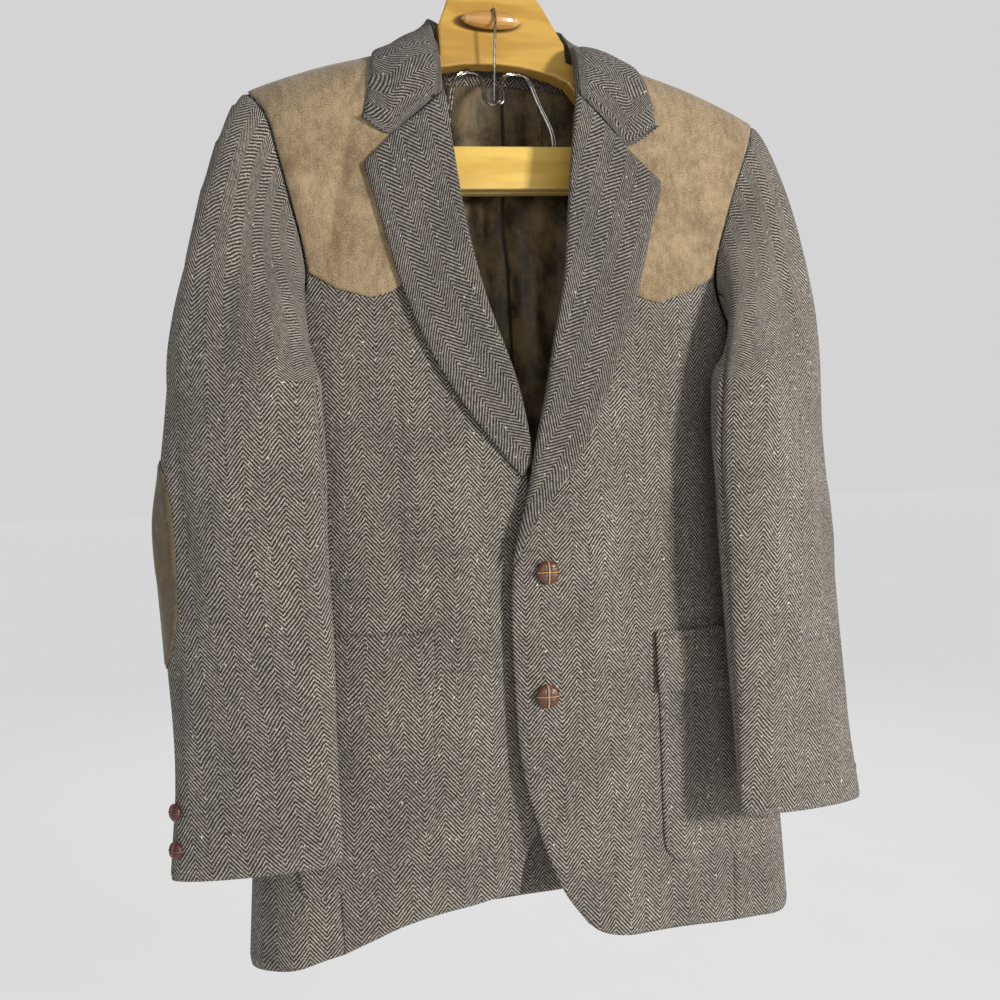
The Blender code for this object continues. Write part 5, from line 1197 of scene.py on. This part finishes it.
def sleeve(side):
    """Top sleeve and under sleeve, which meet at the front seam and at the elbow seam."""
    run = SLEEVE_RUNS
    back_seam = column(BACK_SEAM, 1, run)
    front_seam = column(FRONT_SEAM, 1, run)
    for name, first, last, columns in (
            ("sleeve_top_", back_seam, front_seam, 64),
            ("sleeve_under_", front_seam, back_seam + 2.0, 48)):
        u = np.linspace(0.0, 1.0, columns)
        turn = (first + SEAM_TURN)[:, None] * (1 - u) + (last - SEAM_TURN)[:, None] * u
        runs = np.repeat(run[:, None], columns, axis=1)
        outer = sleeve_surface(side, turn, runs)
        n = sleeve_normals(side, turn, runs)
        flange = outer[0] + (outer[0] - outer[3]) * FLANGE_SHARE
        outer = np.concatenate([flange[None], outer])
        n = np.concatenate([n[:1], n])
        _, u_run, v_run = edge_distance(outer)
        middle = columns // 2
        cut = np.stack([u_run - u_run[:, middle:middle + 1] + 0.3,
                        v_run[:, middle:middle + 1] + 0.0 * u_run], -1)
        wall(name + SIDE_NAME[side], outer, outer - n * CLOTH, "tweed", cut)


def patch_outline(angle):
    """A rounded oval, as fractions of its half width and half height."""
    x, y = np.cos(angle), np.sin(angle)
    return np.sign(x) * np.abs(x) ** PATCH_POWER, np.sign(y) * np.abs(y) ** PATCH_POWER


def elbow_patch(side):
    """A suede oval on the back of the elbow, made from the sleeve's own points."""
    rings, spokes = 26, 96
    top_run, low_run = run_at(side, PATCH_TOP), run_at(side, PATCH_LOW)
    middle, half = 0.5 * (top_run + low_run), 0.5 * (low_run - top_run)
    angle = 2 * np.pi * np.arange(spokes) / spokes
    scale = np.linspace(0.0, 1.0, rings + 1)[1:]
    round_x, round_y = patch_outline(angle)
    turn = PATCH_MIDDLE[side] + PATCH_HALF * scale[:, None] * round_x
    run = middle + half * scale[:, None] * round_y
    turn = np.concatenate([[PATCH_MIDDLE[side]], turn.ravel()])
    run = np.concatenate([[middle], run.ravel()])
    n = sleeve_normals(side, turn, run)
    base = sleeve_surface(side, turn, run)
    low, top = base + n * PATCH_LIFT, base + n * (PATCH_LIFT + SUEDE)
    count = len(base)
    faces = []
    for layer, flip in ((0, False), (count, True)):
        for s in range(spokes):
            nxt = (s + 1) % spokes
            tri = (layer, layer + 1 + s, layer + 1 + nxt)
            faces.append(tri[::-1] if flip else tri)
            for r in range(rings - 1):
                a, b = 1 + r * spokes + s, 1 + r * spokes + nxt
                quad = (layer + a, layer + a + spokes, layer + b + spokes, layer + b)
                faces.append(quad[::-1] if flip else quad)
    rim = 1 + (rings - 1) * spokes
    for s in range(spokes):
        a, b = rim + s, rim + (s + 1) % spokes
        faces.append((a, count + a, count + b, b))
    wide, tall = PATCH_WIDE, PATCH_TOP - PATCH_LOW
    pattern = np.stack([(turn - PATCH_MIDDLE[side]) / PATCH_HALF * wide / 2,
                        (run - middle) / half * tall / 2], -1) + 0.2
    roll = np.concatenate([[0.0], np.repeat(smooth(0.93, 1.0, scale), spokes)])[:, None]
    top = top + (low - top) * 0.7 * roll
    name = "elbow_patch_" + SIDE_NAME[side]
    piece = place(name + "_suede", np.vstack([top, low]), faces, "shaded_suede", "suede",
                  np.vstack([pattern, pattern]))
    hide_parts(name)
    ring_x, ring_y = patch_outline(2 * np.pi * np.linspace(0.0, 1.0, 140))
    ring_turn = PATCH_MIDDLE[side] + PATCH_HALF * 0.93 * ring_x
    ring_run = middle + half * 0.955 * ring_y
    lift = PATCH_LIFT + SUEDE + STITCH_CLEAR
    line = sleeve_surface(side, ring_turn, ring_run)
    line = line + sleeve_normals(side, ring_turn, ring_run) * lift
    stitches("patch_stitches_" + SIDE_NAME[side], [line], "brown_thread", "suede")


def yoke_low(side, count):
    """Distances and heights along the yoke's pointed lower edge, from under the lapel outwards."""
    line = YOKE_LOW[side][::-1]
    share, knots = np.linspace(0, 1, count), np.linspace(0, 1, len(line))
    return np.interp(share, knots, line[:, 0]), np.interp(share, knots, line[:, 1])


def yoke(side):
    """Suede shoulder yoke with a pointed lower edge, laid on the front."""
    rows, columns = 90, 65
    v = np.linspace(0.0, 1.0, rows) ** 1.4
    armhole = ARMHOLE[side, FRONT]
    low_line = YOKE_LOW[side]
    arm_line = np.vstack([armhole[:5] - [0.0012, 0.0], low_line[:1] - [0.0004, 0.0]])
    last = side_points(side, arm_line, v)
    under_lapel = np.array([[YOKE_TOP_X, float(ridge(YOKE_TOP_X))], *YOKE_INNER,
                            [low_line[-1, 0], YOKE_INNER_LOW_Z], low_line[-1]])
    first = side_points(side, under_lapel, v)
    x = np.linspace(YOKE_TOP_X, arm_line[0, 0], columns) * side
    top = to_turn(side, np.stack([x, ridge(x)], -1))
    low_x, low_z = yoke_low(side, columns)
    low = to_turn(side, np.stack([low_x * side, low_z], -1))
    top[0], top[-1], low[0], low[-1] = first[0], last[0], first[-1], last[-1]
    grid = coons(top, low, first, last, v)
    grid[..., 1] = np.minimum(grid[..., 1], ridge(body(side, FRONT, grid[..., 0],
                                                       grid[..., 1])[..., 0]) - 0.0012)
    t, z = grid[..., 0], grid[..., 1]
    n = body_normal(side, FRONT, t, z)
    base = body(side, FRONT, t, z)
    wall("yoke_" + SIDE_NAME[side], base + n * (YOKE_LIFT + SUEDE), base + n * YOKE_LIFT, "suede",
         body_cut(t, z, side))
    lines = []
    lift = YOKE_LIFT + SUEDE + STITCH_CLEAR
    for rise in YOKE_STITCH_ROWS:
        edge_x, edge_z = yoke_low(side, 60)
        edge_z = edge_z + rise
        edge_t = turn_of(side, edge_x * side, edge_z)
        edge = body(side, FRONT, edge_t, edge_z)
        lines.append(edge + body_normal(side, FRONT, edge_t, edge_z) * lift)
    stitches("yoke_stitches_" + SIDE_NAME[side], lines, "buff_thread", "suede")


def pocket(side):
    """Patch pocket with round lower corners and the flap over its mouth."""
    shape = POCKET[side]
    rows, columns = 60, 50
    width = shape["x1"] - shape["x0"]
    u = np.linspace(0.0, 1.0, columns)
    radius = shape["radius"]
    mouth = shape["top"] - POCKET_MOUTH_DROP
    low = shape["low"] + shape["low_tilt"] * u
    corner = np.maximum(0.0, radius - np.minimum(u, 1 - u) * width)
    rise = radius - np.sqrt(np.maximum(0.0, radius ** 2 - corner ** 2))
    low = low + rise * POCKET_CORNER
    v = np.linspace(0.0, 1.0, rows)[:, None]
    z = mouth + (low - mouth)[None] * v
    x = shape["x0"] + width * u[None] + 0.0 * v
    side_panel_points(side, "pocket_", x, z, POCKET_LIFT, POCKET_CLOTH)
    flap_top = shape["top"]
    deep = shape["flap0"] + (shape["flap1"] - shape["flap0"]) * u
    rows = 30
    v = np.linspace(0.0, 1.0, rows)[:, None]
    z = flap_top - deep[None] * v
    x = shape["x0"] - FLAP_OVERHANG + (width + 2 * FLAP_OVERHANG) * u[None] + 0.0 * v
    lift = POCKET_LIFT + POCKET_CLOTH + SKIN + FLAP_SPREAD * v * (1.2 - u)[None]
    side_panel_points(side, "flap_", x, z, lift, CLOTH)


def side_panel_points(side, name, x, z, height, thickness):
    """A wall laid on the front at a height; x is a distance that runs on round the side."""
    t = turn_of(side, side * x, z)
    base = body(side, FRONT, t, z)
    n = body_normal(side, FRONT, t, z)
    height = np.broadcast_to(height, x.shape)[..., None]
    low = base + n * height
    wall(name + SIDE_NAME[side], low + n * thickness, low, "tweed", body_cut(t, z, side) + CUT_SHIFT)


def lining():
    """Satin inside the back, as far down as the open front shows it, with its centre pleat."""
    rows, columns = 110, 90
    x = np.linspace(-LINING_HALF, LINING_HALF, columns)[None]
    top = np.minimum(LINING_TOP, ridge(x) - LINING_BELOW_SEAM)
    z = top + (LINING_LOW - top) * np.linspace(0.0, 1.0, rows)[:, None] ** 1.3
    x, z = np.broadcast_arrays(x, z)
    t = turn_of(LEFT, x, z)
    base = body(LEFT, BACK, t, z)
    n = body_normal(LEFT, BACK, t, z)
    ripple = crease_rows(LINING_CREASES, x, z) * smooth(-0.02, -0.05, z)
    ripple = ripple * (1 - smooth(0.09, 0.14, np.abs(x)))
    slack = LINING_SLACK * smooth(-0.02, -0.20, z) * (1 - smooth(0.06, 0.15, np.abs(x)))
    sag = LINING_GAP + ripple + slack
    pleat = PLEAT_RISE * np.exp(-((x - PLEAT_X) / PLEAT_WIDTH) ** 2) * smooth(-0.02, -0.10, z)
    outer = base - n * (CLOTH + sag + pleat)[..., None]
    wall("lining_back", outer - n * SATIN, outer, "satin")


# ---- stitches --------------------------------------------------------------------------------
STITCH_PITCH, STITCH_SHARE, STITCH_RADIUS = 0.0031, 0.66, 0.00028
# buttonholes, from their round end beyond the button's edge to their end under the button
BUTTONHOLE_REACH, BUTTONHOLE_ROUND, BUTTONHOLE_END = 0.0165, 0.0135, 0.004
BUTTONHOLE_HALF, BUTTONHOLE_DROP, BUTTONHOLE_LIFT = 0.0011, 0.0006, 0.0003
BUTTONHOLE_PITCH, BUTTONHOLE_THREAD = 0.0009, 0.00042


def stitches(name, lines, look, slot, pitch=STITCH_PITCH, radius=STITCH_RADIUS):
    """Rows of stitches: short rounded lengths of thread that taper at both ends."""
    points, faces = [], []
    swell = np.array([0.35, 0.9, 1.0, 0.9, 0.35]) * radius
    turns = np.pi * np.arange(6) / 3
    for line in lines:
        length = np.linalg.norm(np.diff(line, axis=0), axis=1).sum()
        count = max(2, int(length / pitch))
        for k in range(count):
            share = (k + STITCH_SHARE * np.linspace(0.0, 1.0, len(swell))) / count
            spine = along(line, share)
            heading = spine[-1] - spine[0]
            heading /= np.linalg.norm(heading)
            side_way = np.cross(heading, [0.0, 1.0, 0.0])
            side_way /= np.linalg.norm(side_way)
            up = np.cross(heading, side_way)
            start = len(points)
            for middle, thick in zip(spine, swell):
                points += [middle + thick * (np.cos(a) * side_way + np.sin(a) * up) for a in turns]
            faces += ring_faces(len(spine), len(turns), start)
            faces.append(tuple(range(start, start + len(turns)))[::-1])
            faces.append(tuple(range(len(points) - len(turns), len(points))))
    place(name, points, faces, look, slot)


# ---- buttons ---------------------------------------------------------------------------------
def button(name, centre, normal, radius, dome, look):
    """A domed button of plaited leather with the thong's cross raised over it."""
    rings, spokes = 22, 56
    turned = np.array(Vector(normal).normalized().to_track_quat("Z", "Y").to_matrix())
    points, cut = [], []
    # distance from the axis and height of each ring, as shares of the radius and of the dome
    rise = [(0.72, 0.0), (0.90, 0.10), (0.985, 0.26), (1.0, 0.40)]
    rise += [(np.cos(a), 0.40 + 0.60 * np.sin(a)) for a in np.linspace(0.08, np.pi / 2, rings)[:-1]]
    for r, h in rise:
        for s in range(spokes):
            a = 2 * np.pi * s / spokes
            x, y = r * np.cos(a), r * np.sin(a)
            thong = min(abs(x), THONG_RATIO * abs(y))
            lift = 0.10 * np.exp(-(thong / 0.09) ** 2) - 0.10 * np.exp(-((thong - 0.15) / 0.05) ** 2)
            plait = 0.035 * np.cos(2 * np.pi * max(abs(x), abs(y)) / 0.32)
            high = (h + (lift + plait) * smooth(0.40, 0.75, h)) * dome
            points.append(centre + turned @ np.array([x * radius, y * radius, high]))
            cut.append((x, y))
    points.append(centre + turned @ np.array([0.0, 0.0, dome * 1.08]))
    cut.append((0.0, 0.0))
    faces = [tuple(range(spokes))[::-1], *ring_faces(len(rise), spokes)]
    rim = (len(rise) - 1) * spokes
    faces += [(len(points) - 1, rim + s, rim + (s + 1) % spokes) for s in range(spokes)]
    piece = place(name + "_leather", points, faces, look, look, cut)
    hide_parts(name)


def buttons():
    """The front buttons with their buttonholes, and two buttons on each cuff."""
    for k, (x, z) in enumerate(FRONT_BUTTONS):
        t = float(turn_of(LEFT, x, z))
        base = body(LEFT, FRONT, t, z)
        n = body_normal(LEFT, FRONT, t, z)
        button(f"button_front_{k + 1}", base + n * SKIN, n, BUTTON_RADIUS, BUTTON_DOME, "leather")
        rows = []
        for rise in (-BUTTONHOLE_HALF, BUTTONHOLE_HALF):
            line_x = x + np.linspace(-BUTTONHOLE_REACH, -BUTTONHOLE_END, 12)
            open_by = np.sqrt(smooth(-BUTTONHOLE_REACH, -BUTTONHOLE_ROUND, line_x - x))
            line_z = z + rise * open_by - BUTTONHOLE_DROP
            line_t = turn_of(LEFT, line_x, line_z)
            line = body(LEFT, FRONT, line_t, line_z)
            rows.append(line + body_normal(LEFT, FRONT, line_t, line_z) * BUTTONHOLE_LIFT)
        stitches(f"buttonhole_{k + 1}", rows, "brown_thread", "tweed", BUTTONHOLE_PITCH,
                 BUTTONHOLE_THREAD)
    for side in (RIGHT, LEFT):
        for k, rise in enumerate(CUFF_BUTTON_Z):
            run = run_at(side, SLEEVE[side][-1, 0] + rise)
            turn = float(column(BACK_SEAM, 1, run)) + CUFF_BUTTON_TURN[side]
            base = sleeve_surface(side, turn, run)
            n = sleeve_normals(side, turn, run)
            button(f"button_cuff_{SIDE_NAME[side]}_{k + 1}", base + n * SKIN, n,
                   CUFF_BUTTON_RADIUS, CUFF_BUTTON_DOME, "dark_leather")


# ---- hanger ----------------------------------------------------------------------------------
def hanger():
    """The hanger keeps its solids; they get their finish, the clamp's nuts and its second wires."""
    for name in ("hanger_board", "trouser_bar_front", "trouser_bar_back", "toggle"):
        # the trouser bars take the lighter maple, painted light
        repaint(name, {"hanger_board": "board", "toggle": "handle"}.get(name, "maple"))
    for name in ("hanger_hook", "toggle_wire", "clamp_leg_right", "clamp_leg_left",
                 "bar_wire_right", "bar_wire_left"):
        repaint(name, "steel")
    for k, centre in enumerate(NUTS):
        nut(f"clamp_nut_{k + 1}", np.array(centre))
    for side in (RIGHT, LEFT):
        leg_pair(side)


def repaint(name, look):
    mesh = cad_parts[name].data
    mesh.materials.clear()
    mesh.materials.append(LOOKS[look])


NUTS = ((-0.0345, 0.0024, -0.0036), (0.0128, 0.0024, -0.0034))   # on the clamp's legs
LEG_PAIR = np.array([0.0023, -0.0010, -0.0012])      # from each leg to the second one beside it


def nut(name, centre):
    """A small round nut with eased rims, threaded on a clamp leg along X."""
    profile = [(-0.0022, 0.0013), (-0.0022, 0.0022), (-0.0017, 0.0027), (-0.0004, 0.0027),
               (0.0, 0.0023), (0.0004, 0.0027), (0.0017, 0.0027), (0.0022, 0.0022),
               (0.0022, 0.0013)]
    spokes = 24
    points = []
    for along_x, radius in profile:
        for s in range(spokes):
            a = 2 * np.pi * s / spokes
            points.append(centre + np.array([along_x, radius * np.cos(a), radius * np.sin(a)]))
    faces = ring_faces(len(profile), spokes, closed=True)
    place(name, np.array(points), faces, "steel", "steel", crisp=40.0)


def leg_pair(side):
    """The second wire of a clamp leg, which runs beside the first."""
    route = along(np.array(CLAMP_LEG[side]) + LEG_PAIR, np.linspace(0.0, 1.0, 60)) - ORIGIN
    curve = bpy.data.curves.new("leg", "CURVE")
    curve.dimensions = "3D"
    curve.bevel_depth = CLAMP_WIRE
    curve.bevel_resolution = 3
    curve.use_fill_caps = True
    spline = curve.splines.new("POLY")
    spline.points.add(len(route) - 1)
    for k, p in enumerate(route):
        spline.points[k].co = (*p, 1.0)
    curve.materials.append(LOOKS["steel"])
    piece = bpy.data.objects.new("clamp_leg_pair_" + SIDE_NAME[side], curve)
    bpy.context.scene.collection.objects.link(piece)
    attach(piece, "root")


# ---- stage, light and camera -----------------------------------------------------------------
CAMERA_AT = (-0.2190, -0.9004, -0.5118)
CAMERA_YAW, CAMERA_DOWN, CAMERA_ROLL = 0.2303, 0.0068, -0.0323
LENS = 36.97
FLOOR_Z, FLOOR_HALF = -1.25, 60.0
FLOOR_GLOW = 0.615           # the floor's own light, which hides its horizon against the sky
SKY = 0.66                   # brightness of the sky as the camera sees it
SKY_LIGHT = 0.42             # how much of that brightness lights the cloth


def camera():
    """The photograph's view: a little to the wearer's right of the middle, level, with a roll."""
    data = bpy.data.cameras.new("camera")
    data.lens = LENS
    data.sensor_width = 36.0
    data.clip_start, data.clip_end = 0.02, 200.0
    ahead = Vector((np.sin(CAMERA_YAW) * np.cos(CAMERA_DOWN),
                    np.cos(CAMERA_YAW) * np.cos(CAMERA_DOWN), -np.sin(CAMERA_DOWN)))
    level = Vector((np.cos(CAMERA_YAW), -np.sin(CAMERA_YAW), 0.0))
    up = level.cross(ahead)
    c, s = np.cos(CAMERA_ROLL), np.sin(CAMERA_ROLL)
    right_way, up_way = c * level + s * up, -s * level + c * up
    turned = Matrix((right_way, up_way, -ahead)).transposed().to_4x4()
    turned.translation = CAMERA_AT
    piece = bpy.data.objects.new("camera", data)
    piece.matrix_world = turned
    bpy.context.scene.collection.objects.link(piece)
    bpy.context.scene.camera = piece


LAMPS = (
    # name   place                  size          watts colour
    ("key", (1.32, -1.78, -0.20), (0.30, 0.36), 46.0, (1.0, 0.98, 0.95)),
    ("fill", (-0.5, -2.0, -0.2), (1.2, 1.2), 7.0, (1.0, 1.0, 1.0)),
    ("rear", (0.6, 2.2, 0.6), (1.6, 1.6), 26.0, (1.0, 1.0, 1.0)),
)
LAMP_AIM = (0.0, 0.0, -0.5)  # the middle of the jacket


def light(name, at, size, power, colour):
    """A soft rectangular lamp that shines on the middle of the jacket."""
    data = bpy.data.lights.new(name, "AREA")
    data.shape = "RECTANGLE"
    data.size, data.size_y = size
    data.energy = power
    data.color = colour
    piece = bpy.data.objects.new(name, data)
    piece.location = at
    aim = Vector(LAMP_AIM) - Vector(at)
    piece.rotation_euler = aim.to_track_quat("-Z", "Y").to_euler()
    bpy.context.scene.collection.objects.link(piece)


def stage():
    """A pale floor that glows a little, a pale sky, and three soft lamps."""
    mesh = bpy.data.meshes.new("floor")
    corners = ((-1, -1), (1, -1), (1, 1), (-1, 1))
    mesh.from_pydata([(x * FLOOR_HALF, y * FLOOR_HALF, FLOOR_Z) for x, y in corners], [],
                     [(0, 1, 2, 3)])
    floor = bpy.data.objects.new("floor", mesh)
    p = Paint("floor_look", 0.9, Emission_Color=(1.0, 1.0, 1.0, 1.0), Emission_Strength=FLOOR_GLOW)
    place_of = p.node("TexCoord").outputs["Object"]
    tone = p.mix(p.step(p.noise(place_of, 6.0, 3.0), 0.3, 0.7), (0.14, 0.14, 0.14),
                 (0.15, 0.15, 0.15))
    mesh.materials.append(p.finish(tone, p.noise(place_of, 90.0, 3.0), 0.0005, 0.3))
    bpy.context.scene.collection.objects.link(floor)
    world = bpy.data.worlds.new("studio")
    world.use_nodes = True
    sky = world.node_tree.nodes["Background"]
    sky.inputs["Color"].default_value = (SKY, SKY, SKY, 1.0)
    path = world.node_tree.nodes.new("ShaderNodeLightPath")
    level = world.node_tree.nodes.new("ShaderNodeMapRange")
    level.inputs["To Min"].default_value = SKY_LIGHT
    level.inputs["To Max"].default_value = 1.0
    world.node_tree.links.new(path.outputs["Is Camera Ray"], level.inputs["Value"])
    world.node_tree.links.new(level.outputs[0], sky.inputs["Strength"])
    bpy.context.scene.world = world
    bpy.context.scene.view_settings.view_transform = "Standard"
    for lamp in LAMPS:
        light(*lamp)


camera()
stage()
for side in (RIGHT, LEFT):
    front(side)
    side_body(side)
    back(side)
    lapel(side)
    sleeve(side)
    elbow_patch(side)
    yoke(side)
    pocket(side)
collar()
lining()
buttons()
hanger()
